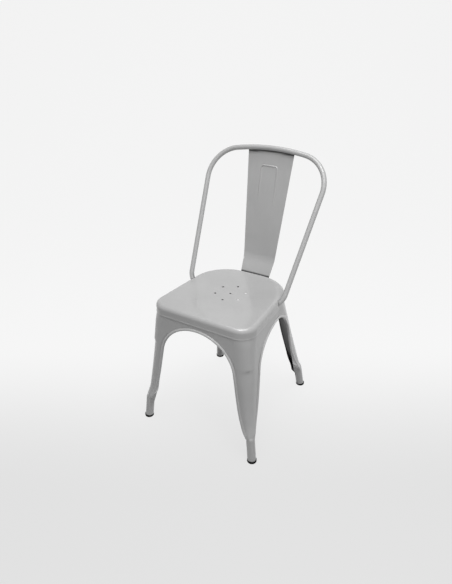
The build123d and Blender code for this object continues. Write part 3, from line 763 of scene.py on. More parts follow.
def seat_sheet():
    """Closed sheet: dish from the middle to the rim, quarter-round roll, skirt with its hem, then the
    same way back one sheet thickness inside. The dish sinks by (1 - k^2)^2 at a share k of the rim."""
    outline, normal = seat_outline()
    share = np.linspace(0, 1, DISH_ROWS + 1)[1:]
    angle = np.linspace(np.pi / 2, 0, ROLL_ROWS)
    rows = []
    for inner, order in ((0.0, 1), (SHEET, -1)):
        rim = outline - normal * SEAT_ROLL
        level = seat_rim - DISH_DEPTH * (1 - share ** 2) ** 2 - inner
        dish = seat_middle + share[:, None, None] * (rim - seat_middle)
        half = [np.concatenate([dish, np.broadcast_to(level[:, None, None], dish.shape[:2] + (1,))], axis=-1)]
        radius = SEAT_ROLL - inner
        inset = SEAT_ROLL - radius * np.cos(angle)
        roll_z = seat_rim - SEAT_ROLL + radius * np.sin(angle)
        hem_z = np.linspace(seat_rim - SEAT_ROLL, skirt_edge, HEM_ROWS)[1:]
        inset = np.concatenate([inset[1:], inner - HEM_BULGE * hem_share(hem_z)])
        height = np.concatenate([roll_z[1:], hem_z])
        plan = outline - normal * inset[:, None, None]
        half.append(np.concatenate(
            [plan, np.broadcast_to(height[:, None, None], plan.shape[:2] + (1,))], axis=-1))
        rows.append(np.concatenate(half)[::order])
    grid = np.concatenate(rows)
    top = [*seat_middle, seat_rim - DISH_DEPTH]
    poles = np.array([top, [*seat_middle, top[2] - SHEET]])
    count, columns = grid.shape[:2]
    faces = strip_faces(count, columns, ring=True).tolist()
    ring = np.arange(columns)
    following = np.roll(ring, -1)
    upper = np.column_stack([np.full(columns, count * columns), following, ring])
    base = (count - 1) * columns
    lower = np.column_stack([np.full(columns, count * columns + 1), base + ring, base + following])
    return np.concatenate([grid.reshape(-1, 3), poles]), faces + upper.tolist() + lower.tolist()


shell = seat_sheet()
# Painted highlight: the hem's bulge is painted lighter, a thin light line along the skirt's lower edge.
hem_highlight = HEM_HIGHLIGHT * hem_share(shell[0][:, 2])
seat = piece("seat_sheet", [shell], "grey_paint", ["seat_pan"], painted_highlight=[hem_highlight])

# %% [markdown]
# Seven drain holes, one in the middle and six round it, are punched through the dish. They are cut
# by one mesh of seven cylinders, the same way as a drill would.

# %% Drain holes
DRAIN_RADIUS = 3.75
DRAIN_RING = 48.5
DRAIN_COUNT = 6
DRAIN_BEHIND_FRONT = 193.0
DRILL_SIDES = 40
DRILL_OVER_RIM = 10.0


def drills():
    """Seven upright rods: rings of points at two heights."""
    turn = np.radians(90 + 360 / DRAIN_COUNT * np.arange(DRAIN_COUNT))
    ring = DRAIN_RING * np.column_stack([np.cos(turn), np.sin(turn)])
    centres = np.concatenate([[[0, 0]], ring]) + (0, seat_front_y + DRAIN_BEHIND_FRONT)
    angle = np.linspace(0, 2 * np.pi, DRILL_SIDES, endpoint=False)
    circle = DRAIN_RADIUS * np.column_stack([np.cos(angle), np.sin(angle)])
    shells = []
    for centre in centres:
        rings = [np.column_stack([centre + circle, np.full(DRILL_SIDES, z)])
                 for z in (skirt_edge, seat_rim + DRILL_OVER_RIM)]
        shells.append(rod(np.array(rings)))
    return shells


def punched(target, shells):
    """target with the shells cut out of it, as a plain mesh."""
    points, faces = joined(shells)
    mesh = bpy.data.meshes.new("drills")
    mesh.from_pydata((points * MM).tolist(), [], faces)
    cutter = bpy.data.objects.new("drills", mesh)
    bpy.context.scene.collection.objects.link(cutter)
    cut = target.modifiers.new("punch", "BOOLEAN")
    cut.object = cutter
    cut.solver = "EXACT"
    result = bpy.data.meshes.new_from_object(target.evaluated_get(bpy.context.evaluated_depsgraph_get()))
    target.modifiers.remove(cut)
    target.data = result
    result.set_sharp_from_angle(angle=CREASE_ANGLE)
    bpy.data.objects.remove(cutter)
    print("seat after punching:", len(result.polygons), "faces")


punched(seat, drills())

# %% [markdown]
# ## Back hoop
# One round tube bent in a leaning plane: a shallow crown, two tight shoulders, two long legs that
# close in towards the seat, and a last bend that lays the ends against the seat's sides.

# %% Centre line of the hoop
TUBE_RADIUS = 8.0
HOOP_CROWN_RADIUS = 681.0
HOOP_BEND_RADIUS = 100.5
HOOP_SPREAD = 405.4
HOOP_FOOT_ABOVE_SEAT = 15.3
HOOP_FOOT_BEHIND_FRONT = 229.7
HOOP_FOOT_OUTSIDE_SEAT = 11.4
HOOP_END_RADIUS = 47.5
HOOP_END_ANGLE = np.radians(36.0)
HOOP_END_LENGTH = 10.0
CROWN_ROWS = 24
SHOULDER_ROWS = 48
STRAIGHT_ROWS = 60
END_ROWS = 24
TIP_ROWS = 10
hoop_top = np.array([0, hoop_high[1] - TUBE_RADIUS, hoop_high[2] - TUBE_RADIUS])
hoop_foot_y = seat_front_y + HOOP_FOOT_BEHIND_FRONT
hoop_rise = hoop_top[2] - seat_rim - HOOP_FOOT_ABOVE_SEAT
hoop_back = hoop_top[1] - hoop_foot_y
hoop_drop = np.hypot(hoop_rise, hoop_back)
hoop_up = np.array([0, hoop_back, hoop_rise]) / hoop_drop
hoop_normal = np.array([0, -hoop_up[2], hoop_up[1]])


def seat_side_x(y, height):
    """Half the seat's width at a depth y on its straight side, less the roll of the top edge."""
    outline, _ = seat_outline()
    side = slice(0, OUTLINE_POINTS // 2)
    x = np.interp(y, outline[side, 1], outline[side, 0])
    rise = np.clip(height - seat_rim + SEAT_ROLL, 0, SEAT_ROLL)
    return x - SEAT_ROLL + np.sqrt(SEAT_ROLL ** 2 - rise ** 2)


def hoop_line():
    """Right half of the centre line in the hoop's plane, with its tangent angle, as arcs and straights."""
    centre_x = HOOP_SPREAD / 2 - HOOP_BEND_RADIUS
    rise = np.sqrt((HOOP_CROWN_RADIUS - HOOP_BEND_RADIUS) ** 2 - centre_x ** 2)
    bend = np.array([centre_x, rise - HOOP_CROWN_RADIUS])
    foot = np.array([float(seat_side_x(hoop_foot_y, skirt_edge)) + HOOP_FOOT_OUTSIDE_SEAT, -hoop_drop])
    gap = foot - bend
    flare = -np.arctan2(gap[1], gap[0]) - np.arccos(HOOP_BEND_RADIUS / np.hypot(*gap))
    lead = np.arctan2(rise, centre_x)
    end = foot - HOOP_END_RADIUS * np.array([np.cos(flare), -np.sin(flare)])
    arcs = []
    for middle, radius, first, last, count in (
        (np.array([0, -HOOP_CROWN_RADIUS]), HOOP_CROWN_RADIUS, np.pi / 2, lead, CROWN_ROWS),
        (bend, HOOP_BEND_RADIUS, lead, -flare, SHOULDER_ROWS),
        (end, HOOP_END_RADIUS, -flare, -HOOP_END_ANGLE, END_ROWS),
    ):
        angle = np.linspace(first, last, count)
        ray = np.column_stack([np.cos(angle), np.sin(angle)])
        arcs.append(np.column_stack([middle + radius * ray, angle]))
    run = np.linspace(arcs[1][-1], arcs[2][0], STRAIGHT_ROWS)[1:-1]
    onward = np.array([-np.sin(HOOP_END_ANGLE), -np.cos(HOOP_END_ANGLE), 0])
    tip = arcs[2][-1] + onward * np.linspace(0, HOOP_END_LENGTH, TIP_ROWS)[1:, None]
    return np.concatenate([arcs[0], arcs[1][1:], run, arcs[2], tip])


print("hoop height along its slope", round(float(hoop_drop), 1))

# %% [markdown]
# The tube is a row of rings round that line. Its ends are pressed flat against the seat and welded,
# so points that would lie inside the seat are moved out to its side, and a small drop of weld sits
# under each end. Shade is painted along the joint and on the tube's lower end, and the drops are painted
# lighter as a highlight.

# %% Hoop tube and welds
TUBE_SIDES = 40
WELD_SINK = 0.3
WELD_RADII = (2.2, 2.6, 2.6)
WELD_RAISE = 0.6
WELD_STEPS = 6
WELD_RINGS = 13
WELD_SIDES = 20
WELD_POLE = 1.5
WELD_HIGHLIGHT = 0.8
END_SHADE = 0.6
END_SHADE_REACH = 12.0
JOINT_SHADE_REACH = 2.5


def hoop_tube():
    """Rings round the centre line; where a ring would enter the seat's side it is laid flat on it. With
    it goes the painted shade of the joint, a bell curve of the gap to the seat and, on the tube's inner side,
    of the height over the rim, and a point on the seat's right side just past the tube's end."""
    right = hoop_line()
    left = right[:0:-1] * (-1, 1, -1) + (0, 0, np.pi)
    line = np.concatenate([left, right])
    centre = hoop_top + line[:, :1] * (1, 0, 0) + line[:, 1:2] * hoop_up
    normal = np.cos(line[:, 2:]) * (1, 0, 0) + np.sin(line[:, 2:]) * hoop_up
    angle = np.linspace(0, 2 * np.pi, TUBE_SIDES, endpoint=False)[None, :, None]
    rings = centre[:, None] + TUBE_RADIUS * (np.cos(angle) * normal[:, None] + np.sin(angle) * hoop_normal)
    low = rings[..., 2] < seat_rim
    limit = seat_side_x(rings[..., 1], rings[..., 2]) - WELD_SINK
    x = np.where(low, np.sign(rings[..., 0]) * np.maximum(np.abs(rings[..., 0]), limit), rings[..., 0])
    # Painted shade: dark along the joint with the seat and on the inner side of the tube's lower end.
    joint_shade = np.where(low, np.exp(-((np.abs(x) - limit) / JOINT_SHADE_REACH) ** 2), 0)
    facing_seat = np.clip(-np.cos(angle[..., 0]), 0, 1)
    over_rim = np.exp(-((rings[..., 2] - seat_rim) / END_SHADE_REACH) ** 2)
    joint_shade = np.maximum(joint_shade, END_SHADE * facing_seat * over_rim)
    rings = np.concatenate([x[..., None], rings[..., 1:]], axis=-1)
    ends = rings[[-1, -1 - WELD_STEPS]].mean(axis=1)
    _, y, z = 2 * ends[0] - ends[1]
    return rod(rings), joint_shade.ravel(), np.array([float(seat_side_x(y, z)) + WELD_RAISE, y, z])


def weld_drop(middle):
    """Small oval drop of weld: rings of latitude between two nearly closed poles."""
    latitude = np.linspace(-WELD_POLE, WELD_POLE, WELD_RINGS)[:, None]
    longitude = np.linspace(0, 2 * np.pi, WELD_SIDES, endpoint=False)
    ball = np.stack([np.cos(latitude) * np.cos(longitude), np.cos(latitude) * np.sin(longitude),
                     np.sin(latitude) * np.ones(WELD_SIDES)], axis=-1)
    return rod(middle + ball * WELD_RADII)


tube, joint_shade, tube_end = hoop_tube()
drop = weld_drop(tube_end)
shells = [tube, drop, *mirrored([drop])]
# The weld drops are painted lighter, a painted highlight; they carry no painted shade.
weld_highlight = np.full(len(drop[0]), WELD_HIGHLIGHT)
unshaded = np.zeros(len(drop[0]))
piece("hoop_tube", shells, "grey_paint", ["back_hoop"],
      painted_highlight=[0 * joint_shade, weld_highlight, weld_highlight], grime=[joint_shade, unshaded, unshaded])

# %% [markdown]
# ## Back splat
# A tapered sheet between hoop and seat. It is bent near its foot, so that the foot reaches forward
# under the seat's rear edge, and a narrow rib is pressed forward near the top to stiffen it.

# %% Splat sheet
SPLAT_WIDTHS = (105.5, 105.5, 116.0, 162.0)
SPLAT_FOOT_LEAN = np.radians(29.5)
SPLAT_TAB = 15.0
SPLAT_TAB_RADIUS = 6.0
SPLAT_BEND_ABOVE_SEAT = 40.0
SPLAT_BEND_RADIUS = 90.0
SPLAT_BEHIND_HOOP = 3.2
SPLAT_GAP = 0.25
RIB_HALF_WIDTH = 28.0
RIB_CORNER = 9.0
RIB_LENGTH = 140.0
RIB_BELOW_TOP = 56.0
RIB_BAND = 5.0
RIB_HEIGHT = 2.2
RIB_FADE = 0.7
SPLAT_ARC_POINTS = 24
SPLAT_BEND_ZONE = 110.0
RIB_ZONE_OVER = 6.0
SPLAT_ROWS = (90, 70, 44, 14)
SPLAT_COLUMNS = (12, 22, 14)


def rounded_line(corners, radii):
    """Line through corners with each inner corner replaced by an arc of its radius."""
    parts = [corners[:1]]
    for before, corner, after, radius in zip(corners, corners[1:], corners[2:], radii):
        back, ahead = (before - corner), (after - corner)
        back, ahead = back / np.hypot(*back), ahead / np.hypot(*ahead)
        half = np.arccos(back @ ahead) / 2
        middle = corner + (back + ahead) / np.hypot(*(back + ahead)) * radius / np.sin(half)
        first, last = (corner + way * radius / np.tan(half) - middle for way in (back, ahead))
        begin = np.arctan2(first[1], first[0])
        sweep = (np.arctan2(last[1], last[0]) - begin + np.pi) % (2 * np.pi) - np.pi
        angle = begin + sweep * np.linspace(0, 1, SPLAT_ARC_POINTS)
        parts.append(middle + radius * np.column_stack([np.cos(angle), np.sin(angle)]))
    return np.concatenate([*parts, corners[-1:]])


def rib_lift(x, below):
    """Height of the pressed rib: a raised cosine of the distance to an arch-shaped line, fading down."""
    half = RIB_HALF_WIDTH - RIB_CORNER
    past_x = np.maximum(np.abs(x) - half, 0)
    past_v = np.maximum(RIB_CORNER - below, 0)
    distance = np.abs(np.hypot(past_x, past_v) - RIB_CORNER)
    inside = (np.abs(x) < half) & (below > RIB_CORNER)
    distance = np.where(inside, RIB_BAND, distance)
    fade = smooth_step((RIB_LENGTH - below) / (RIB_FADE * RIB_LENGTH))
    return RIB_HEIGHT * fade * 0.5 * (1 + np.cos(np.pi * np.clip(distance / (RIB_BAND / 2), 0, 1)))


def splat_sheet():
    """Side view carried across the width; rows are finer at the bends and at the rib, columns too. With
    the sheet goes a share for each point: 1 on its front face, 0 on its back."""
    tab_y = seat_rear_y + SPLAT_GAP
    tab_top = skirt_edge + SPLAT_TAB
    bend_z = seat_rim + SPLAT_BEND_ABOVE_SEAT
    bend_y = tab_y + (bend_z - tab_top) * np.tan(SPLAT_FOOT_LEAN)
    top_y = hoop_top[1] + SPLAT_BEHIND_HOOP
    corners = np.array([[tab_y, skirt_edge], [tab_y, tab_top], [bend_y, bend_z], [top_y, hoop_top[2]]])
    side = rounded_line(corners, (SPLAT_TAB_RADIUS, SPLAT_BEND_RADIUS))
    length = np.concatenate([[0], np.cumsum(np.hypot(*np.diff(side, axis=0).T))])
    rib_zone = length[-1] - RIB_BELOW_TOP - RIB_CORNER * 2
    rib_top = length[-1] - RIB_BELOW_TOP + RIB_ZONE_OVER
    stops = (0, SPLAT_BEND_ZONE, rib_zone, rib_top, length[-1])
    zones = [np.linspace(first, last, count)[1:] for first, last, count in zip(stops, stops[1:], SPLAT_ROWS)]
    place = np.concatenate([[0], *zones])
    y, z = (np.interp(place, length, side[:, k]) for k in (0, 1))
    slope = np.stack([np.gradient(y, place), np.gradient(z, place)], axis=1)
    slope /= np.hypot(*slope.T)[:, None]
    half_width = np.interp(z, corners[:, 1], np.array(SPLAT_WIDTHS) / 2)
    inner = np.linspace(0, RIB_HALF_WIDTH - RIB_BAND, SPLAT_COLUMNS[0])[:-1]
    rib = np.linspace(RIB_HALF_WIDTH - RIB_BAND, RIB_HALF_WIDTH + RIB_BAND, SPLAT_COLUMNS[1])
    right = np.concatenate([inner, rib])
    outer = np.linspace(0, 1, SPLAT_COLUMNS[2])[1:]
    spread = right[-1] + (half_width[:, None] - right[-1]) * outer
    x = np.concatenate([np.broadcast_to(right, (len(place), len(right))), spread], axis=1)
    x = np.concatenate([-x[:, :0:-1], x], axis=1)
    below = (length[-1] - RIB_BELOW_TOP - place)[:, None]
    lift = rib_lift(x, np.broadcast_to(below, x.shape))
    forward = np.stack([np.zeros(len(place)), -slope[:, 1], slope[:, 0]], axis=1)[:, None]
    flat = np.stack(np.broadcast_arrays(x, y[:, None], z[:, None]), axis=-1)
    front = flat + forward * lift[..., None]
    front_face = np.concatenate([np.ones_like(x), np.zeros_like(x)], axis=1)
    return slab(front, front - forward * SHEET), front_face.ravel()


shell, front_face = splat_sheet()
print("splat width at foot and top:", SPLAT_WIDTHS[0], SPLAT_WIDTHS[-1])

# %% [markdown]
# Two bands of painted shade frame the splat: where its foot meets the seat, and a painted shadow under the
# hoop's crown. At the left end of the bend a painted highlight makes a bright spot. All three are shares
# for each point, worked out from its height and its distance from the spot.

# %% Marks on the splat
FOOT_SHADE_START = 2.0
FOOT_SHADE_FADE = 5.0
SHADED_BELOW_HOOP = 15.0
SHADED_FADE = 2.5
GLINT_BELOW_BEND = 8.0
GLINT_RADIUS = 3.5
GLINT_STRENGTH = 1.8
x, _, z = shell[0].T
# Painted shade where the foot meets the seat and a painted shadow under the hoop; a painted highlight at the
# bend's left end.
foot_shade = smooth_step((seat_rim - FOOT_SHADE_START - z) / FOOT_SHADE_FADE)
under_hoop = z - hoop_top[2] + x ** 2 / (2 * HOOP_CROWN_RADIUS) + SHADED_BELOW_HOOP
splat_shade = front_face * np.maximum(foot_shade, smooth_step(under_hoop / SHADED_FADE))
glint_z = seat_rim + SPLAT_BEND_ABOVE_SEAT - GLINT_BELOW_BEND
glint = GLINT_STRENGTH * np.exp(-((x + SPLAT_WIDTHS[2] / 2) ** 2 + (z - glint_z) ** 2) / GLINT_RADIUS ** 2)
piece("splat_sheet", [shell], "grey_paint", ["back_splat"], painted_highlight=[glint], grime=[splat_shade])

# %% [markdown]
# ## Floor glides
# A moulded rubber cup closes each foot: flat underneath, rounded at the floor, a soft edge on top.
# It is turned on its axis, so a profile carried round a circle gives the whole piece.

# %% Glides
GLIDE_EDGE = 2.0
GLIDE_TOP_EDGE = 1.0
GLIDE_OVER_FOOT = 0.5
GLIDE_SIDES = 64


def quarter(middle_r, middle_z, radius, first, last, count=8):
    """Arc of a profile round a middle point, between two angles in degrees."""
    angle = np.radians(np.linspace(first, last, count))
    return np.column_stack([middle_r + radius * np.cos(angle), middle_z + radius * np.sin(angle)])


def floor_glide(foot):
    """Profile (radius, height): flat base, round lower edge, wall, round upper edge, flat top."""
    top = GLIDE_HEIGHT - GLIDE_TOP_EDGE + GLIDE_OVER_FOOT
    profile = np.concatenate([
        quarter(GLIDE_RADIUS - GLIDE_EDGE, GLIDE_EDGE, GLIDE_EDGE, -90, 0),
        quarter(GLIDE_RADIUS - GLIDE_TOP_EDGE, top, GLIDE_TOP_EDGE, 0, 90),
    ])
    angle = np.linspace(0, 2 * np.pi, GLIDE_SIDES, endpoint=False)
    x = foot[0] + profile[:, :1] * np.cos(angle)
    y = foot[1] + profile[:, :1] * np.sin(angle)
    return rod(np.stack([x, y, np.broadcast_to(profile[:, 1:], x.shape)], axis=-1))


for end, leg in (("front", front_leg), ("rear", rear_leg)):
    shells = [floor_glide(leg.foot)]
    piece(f"rubber_glide_{end}_right", shells, "glide_rubber", [f"floor_glide_{end}_right"])
    piece(f"rubber_glide_{end}_left", mirrored(shells), "glide_rubber", [f"floor_glide_{end}_left"])

# %% [markdown]
# ## Cross brace
# Two flat bars cross under the seat and tie the legs together. Their ends are rounded to lie inside
# the corners of the legs. Plastic sleeves on their arms keep the paint of the chair below from being
# scratched when chairs are stacked.

# %% Brace bars and stacking caps
BRACE_WIDTH = 25.0
BRACE_THICKNESS = 3.0
BRACE_EDGE = 1.0
BRACE_INTO_BULGE = 0.5
BRACE_ROWS = 40
CAP_FROM_CENTRE = 118.0
CAP_LENGTH = 32.0
CAP_WALL = 3.7
CAP_EDGE = 1.8
CAP_CORNER_OVER = 1.0
CAP_END_ROWS = 8
lower_low, lower_high = box_mm("brace_bar_lower")
upper_low, upper_high = box_mm("brace_bar_upper")


def rounded_box_ring(width, height, radius, count=6):
    """Outline of a rectangle with round corners, as four quarter arcs."""
    corners = ((1, 1, 0), (-1, 1, 90), (-1, -1, 180), (1, -1, 270))
    arcs = [quarter(sx * (width / 2 - radius), sy * (height / 2 - radius), radius, start, start + 90, count)
            for sx, sy, start in corners]
    return np.concatenate(arcs)


def brace_run():
    """Plan of the lower bar: the point where the bars cross, its direction, and for the front left and
    the rear right corner the distance of the centre along the bar and the radius inside the sheet."""
    front, rear = (np.array([float(v) for v in circle_at(leg, lower_low[2])[:3]]) for leg in both_legs)
    start, end = np.array([-front[0], front[1]]), rear[:2]
    way = (end - start) / np.hypot(*(end - start))
    crossing = start - way * start[0] / way[0]
    inside = [corner[2] - SHEET + BRACE_INTO_BULGE * leg.bulge
              for corner, leg in zip((front, rear), both_legs)]
    return crossing, way, ((start - crossing) @ way, inside[0]), ((end - crossing) @ way, inside[1])


def along_bar(stations, ring, level):
    """The ring carried along the bar: stations are distances from the point where the bars cross, one
    row for each copy of the ring and one column for each of its points, or a single one for them all."""
    crossing, way, _, _ = brace_run()
    side = np.array([-way[1], way[0]])
    plan = crossing + way * stations[..., None] + side * ring[None, :, :1]
    height = np.broadcast_to(level + ring[:, 1:], plan.shape[:2] + (1,))
    return np.concatenate([plan, height], axis=-1)


def brace_bar(level):
    """Flat bar whose ends are rounded to lie inside the corner circles of the legs."""
    _, _, (front, front_radius), (rear, rear_radius) = brace_run()
    ring = rounded_box_ring(BRACE_WIDTH, BRACE_THICKNESS, BRACE_EDGE)
    first = front - np.sqrt(front_radius ** 2 - ring[:, 0] ** 2)
    last = rear + np.sqrt(rear_radius ** 2 - ring[:, 0] ** 2)
    stations = first + (last - first) * np.linspace(0, 1, BRACE_ROWS)[:, None]
    return rod(along_bar(stations, ring, level))


def stack_cap(level, end):
    """Sleeve with soft ends: its outline shrinks along a quarter circle at both ends."""
    angle = np.radians(np.linspace(0, 90, CAP_END_ROWS))
    drawn_in = CAP_EDGE * (1 - np.sin(angle))
    shrink = np.concatenate([drawn_in, drawn_in[::-1]])
    reach = CAP_LENGTH / 2 - CAP_EDGE + CAP_EDGE * np.cos(angle)
    stations = end * CAP_FROM_CENTRE + np.concatenate([-reach, reach[::-1]])
    width, height = BRACE_WIDTH + 2 * CAP_WALL, BRACE_THICKNESS + 2 * CAP_WALL
    ring = rounded_box_ring(width, height, CAP_EDGE + CAP_CORNER_OVER)
    size = 1 - shrink[:, None, None] / np.array([width / 2, height / 2])
    rings = [along_bar(station.reshape(1, 1), ring * share, level)[0]
             for station, share in zip(stations, size)]
    return rod(np.stack(rings))


lower_level = (lower_low[2] + lower_high[2]) / 2
upper_level = (upper_low[2] + upper_high[2]) / 2
piece("brace_flat_lower", [brace_bar(lower_level)], "grey_paint", ["brace_bar_lower"])
piece("brace_flat_upper", mirrored([brace_bar(upper_level)]), "grey_paint", ["brace_bar_upper"])
for name, end in (("rear", 1), ("front", -1)):
    lower_side, upper_side = ("right", "left") if end > 0 else ("left", "right")
    piece(f"stacking_cap_{name}_{lower_side}", [stack_cap(lower_level, end)], "cap_plastic",
          [f"stack_cap_{name}_{lower_side}"])
    piece(f"stacking_cap_{name}_{upper_side}", mirrored([stack_cap(upper_level, end)]), "cap_plastic",
          [f"stack_cap_{name}_{upper_side}"])

# %% [markdown]
# ## Finishes
# Sprayed enamel is never quite even: a fine orange-peel ripple, slow changes of tone and gloss, and a
# little dust where surfaces face up. The beads' lighter crests are a painted highlight, set by marks on the
# pieces.
# One node group works out the rest from the piece's own coordinates, for every material to use.

# %% Shared surface detail
STREAK_STRETCH = 0.04
SPECK_RANGE = (0.66, 0.74)
DUST_FACING = (0.75, 1.0)
DUST_SCALE = 22
DUST_DETAIL = 6


def link(tree, source, target):
    tree.links.new(source, target)


def make_detail_group():
    """Group with outputs for slow tone, fine gloss change, ripple height, specks, wipe marks and dust."""
    group = bpy.data.node_groups.new("surface detail", "ShaderNodeTree")
    for name in ("Tone", "Gloss", "Ripple", "Speck", "Streak", "Dust"):
        group.interface.new_socket(name, in_out="OUTPUT", socket_type="NodeSocketFloat")
    nodes = group.nodes
    output = nodes.new("NodeGroupOutput")
    place = nodes.new("ShaderNodeTexCoord")
    upright = nodes.new("ShaderNodeMapping")
    upright.inputs["Scale"].default_value = (1, 1, STREAK_STRETCH)
    link(group, place.outputs["Object"], upright.inputs["Vector"])
    for name, scale, detail, rough in (("Tone", 7, 3, 0.55), ("Gloss", 60, 4, 0.6), ("Ripple", 620, 2, 0.4),
                                       ("Speck", 260, 2, 0.5), ("Streak", 150, 2, 0.5)):
        noise = nodes.new("ShaderNodeTexNoise")
        noise.inputs["Scale"].default_value = scale
        noise.inputs["Detail"].default_value = detail
        noise.inputs["Roughness"].default_value = rough
        source = upright.outputs["Vector"] if name == "Streak" else place.outputs["Object"]
        link(group, source, noise.inputs["Vector"])
        if name == "Speck":
            sparse = nodes.new("ShaderNodeMapRange")
            sparse.inputs["From Min"].default_value = SPECK_RANGE[0]
            sparse.inputs["From Max"].default_value = SPECK_RANGE[1]
            link(group, noise.outputs["Fac"], sparse.inputs["Value"])
            link(group, sparse.outputs["Result"], output.inputs[name])
        else:
            link(group, noise.outputs["Fac"], output.inputs[name])
    facing = nodes.new("ShaderNodeNewGeometry")
    split = nodes.new("ShaderNodeSeparateXYZ")
    upward = nodes.new("ShaderNodeMapRange")
    upward.inputs["From Min"].default_value = DUST_FACING[0]
    upward.inputs["From Max"].default_value = DUST_FACING[1]
    link(group, facing.outputs["Normal"], split.inputs["Vector"])
    link(group, split.outputs["Z"], upward.inputs["Value"])
    patchy = nodes.new("ShaderNodeTexNoise")
    patchy.inputs["Scale"].default_value = DUST_SCALE
    patchy.inputs["Detail"].default_value = DUST_DETAIL
    dust = nodes.new("ShaderNodeMath")
    dust.operation = "MULTIPLY"
    link(group, place.outputs["Object"], patchy.inputs["Vector"])
    link(group, upward.outputs["Result"], dust.inputs[0])
    link(group, patchy.outputs["Fac"], dust.inputs[1])
    link(group, dust.outputs["Value"], output.inputs["Dust"])
    return group


detail_group = make_detail_group()
print(detail_group.name, "has", len(detail_group.nodes), "nodes")

# %% [markdown]
# A material is a chain of small steps: spread a noise over a range, mix two colours by a mask, turn
# towards another colour where a piece carries a mark. Each step is a helper that adds one or two
# nodes and hands on a socket.

# %% Steps of a material
NOISE_RANGE = (0.3, 0.7)
DULL_SHARE = 0.05


def ranged(tree, source, low, high):
    """source, spread from the range where most of a noise lies over low to high."""
    node = tree.nodes.new("ShaderNodeMapRange")
    sockets = ("From Min", "From Max", "To Min", "To Max")
    for socket, value in zip(sockets, (*NOISE_RANGE, low, high)):
        node.inputs[socket].default_value = value
    link(tree, source, node.inputs["Value"])
    return node.outputs["Result"]


def blended(tree, factor, first, second):
    """Colour mix; first and second are sockets or colours."""
    node = tree.nodes.new("ShaderNodeMix")
    node.data_type = "RGBA"
    link(tree, factor, node.inputs["Factor"])
    for socket, value in ((node.inputs[6], first), (node.inputs[7], second)):
        if isinstance(value, tuple):
            socket.default_value = value
        else:
            link(tree, value, socket)
    return node.outputs[2]


def scaled(tree, source, factor):
    """source times a factor."""
    node = tree.nodes.new("ShaderNodeMath")
    node.operation = "MULTIPLY"
    node.inputs[1].default_value = factor
    link(tree, source, node.inputs[0])
    return node.outputs["Value"]


def faded(tree, source, full):
    """A value that falls from full to nearly nothing as source goes from 0 to 1."""
    node = tree.nodes.new("ShaderNodeMapRange")
    node.inputs["To Min"].default_value = full
    node.inputs["To Max"].default_value = DULL_SHARE * full
    link(tree, source, node.inputs["Value"])
    return node.outputs["Result"]


def marked(tree, mark, amount, colour, other):
    """colour turned towards another by an amount, where a piece carries a mark."""
    share = tree.nodes.new("ShaderNodeAttribute")
    share.attribute_name = mark
    return blended(tree, scaled(tree, share.outputs["Fac"], amount), colour, other)


# %% [markdown]
# Three finishes cover the chair: light grey enamel with a clear gloss, black rubber that hardly
# shines, and black plastic. They differ only in colours, roughness, ripple and gloss, so one function
# makes all three. Only the enamel shows the painted highlight and painted shade, and its clear coat fades
# where shade is painted.

# %% Enamel, rubber and plastic
SPECK_SHARE = 0.35
STREAK_SHARE = 0.15
DUST_SHARE = 0.10
DUST_TINT = 0.5
DUST_PALENESS = 0.3
HIGHLIGHT_SHARE = 0.5
SHADE_SHARE = 0.95
COAT_ROUGHNESS = 0.11
RIPPLE_DEPTH = 0.0004


def grey(value):
    """An even grey of that brightness, fully opaque."""
    return (value, value, value, 1)


# Near-black colour of the painted shade.
SHADE_COLOUR = grey(0.02)


def finish(name, dark, light, speck, roughness, bump, shine=0.5, coat=0.0, highlight_colour=None):
    """Material: tone between two colours, specks, dust, gloss change and ripple from the shared group."""
    material = bpy.data.materials.new(name)
    material.use_nodes = True
    tree = material.node_tree
    shader = tree.nodes["Principled BSDF"]
    detail = tree.nodes.new("ShaderNodeGroup")
    detail.node_tree = detail_group
    colour = blended(tree, ranged(tree, detail.outputs["Tone"], 0, 1), dark, light)
    colour = blended(tree, scaled(tree, detail.outputs["Speck"], SPECK_SHARE), colour, speck)
    streak = ranged(tree, detail.outputs["Streak"], 0, 1)
    colour = blended(tree, scaled(tree, streak, STREAK_SHARE), colour, speck)
    dusty = grey(DUST_TINT * light[0] + DUST_PALENESS)
    colour = blended(tree, scaled(tree, detail.outputs["Dust"], DUST_SHARE), colour, dusty)
    gloss = ranged(tree, detail.outputs["Gloss"], *roughness)
    # Painted highlight lightens the paint and painted shade darkens it, both read from the pieces' marks.
    if highlight_colour:
        colour = marked(tree, "painted_highlight", HIGHLIGHT_SHARE, colour, highlight_colour)
        colour = marked(tree, "grime", SHADE_SHARE, colour, SHADE_COLOUR)
    link(tree, colour, shader.inputs["Base Color"])
    link(tree, gloss, shader.inputs["Roughness"])
    shader.inputs["Specular IOR Level"].default_value = shine
    shader.inputs["Coat Weight"].default_value = coat
    # The clear coat fades where shade is painted, so that painted shade shows no reflection.
    if highlight_colour:
        dull = tree.nodes.new("ShaderNodeAttribute")
        dull.attribute_name = "grime"
        link(tree, faded(tree, dull.outputs["Fac"], coat), shader.inputs["Coat Weight"])
    shader.inputs["Coat Roughness"].default_value = COAT_ROUGHNESS
    ripple = tree.nodes.new("ShaderNodeBump")
    ripple.inputs["Strength"].default_value = bump
    ripple.inputs["Distance"].default_value = RIPPLE_DEPTH
    link(tree, detail.outputs["Ripple"], ripple.inputs["Height"])
    link(tree, ripple.outputs["Normal"], shader.inputs["Normal"])
    return material


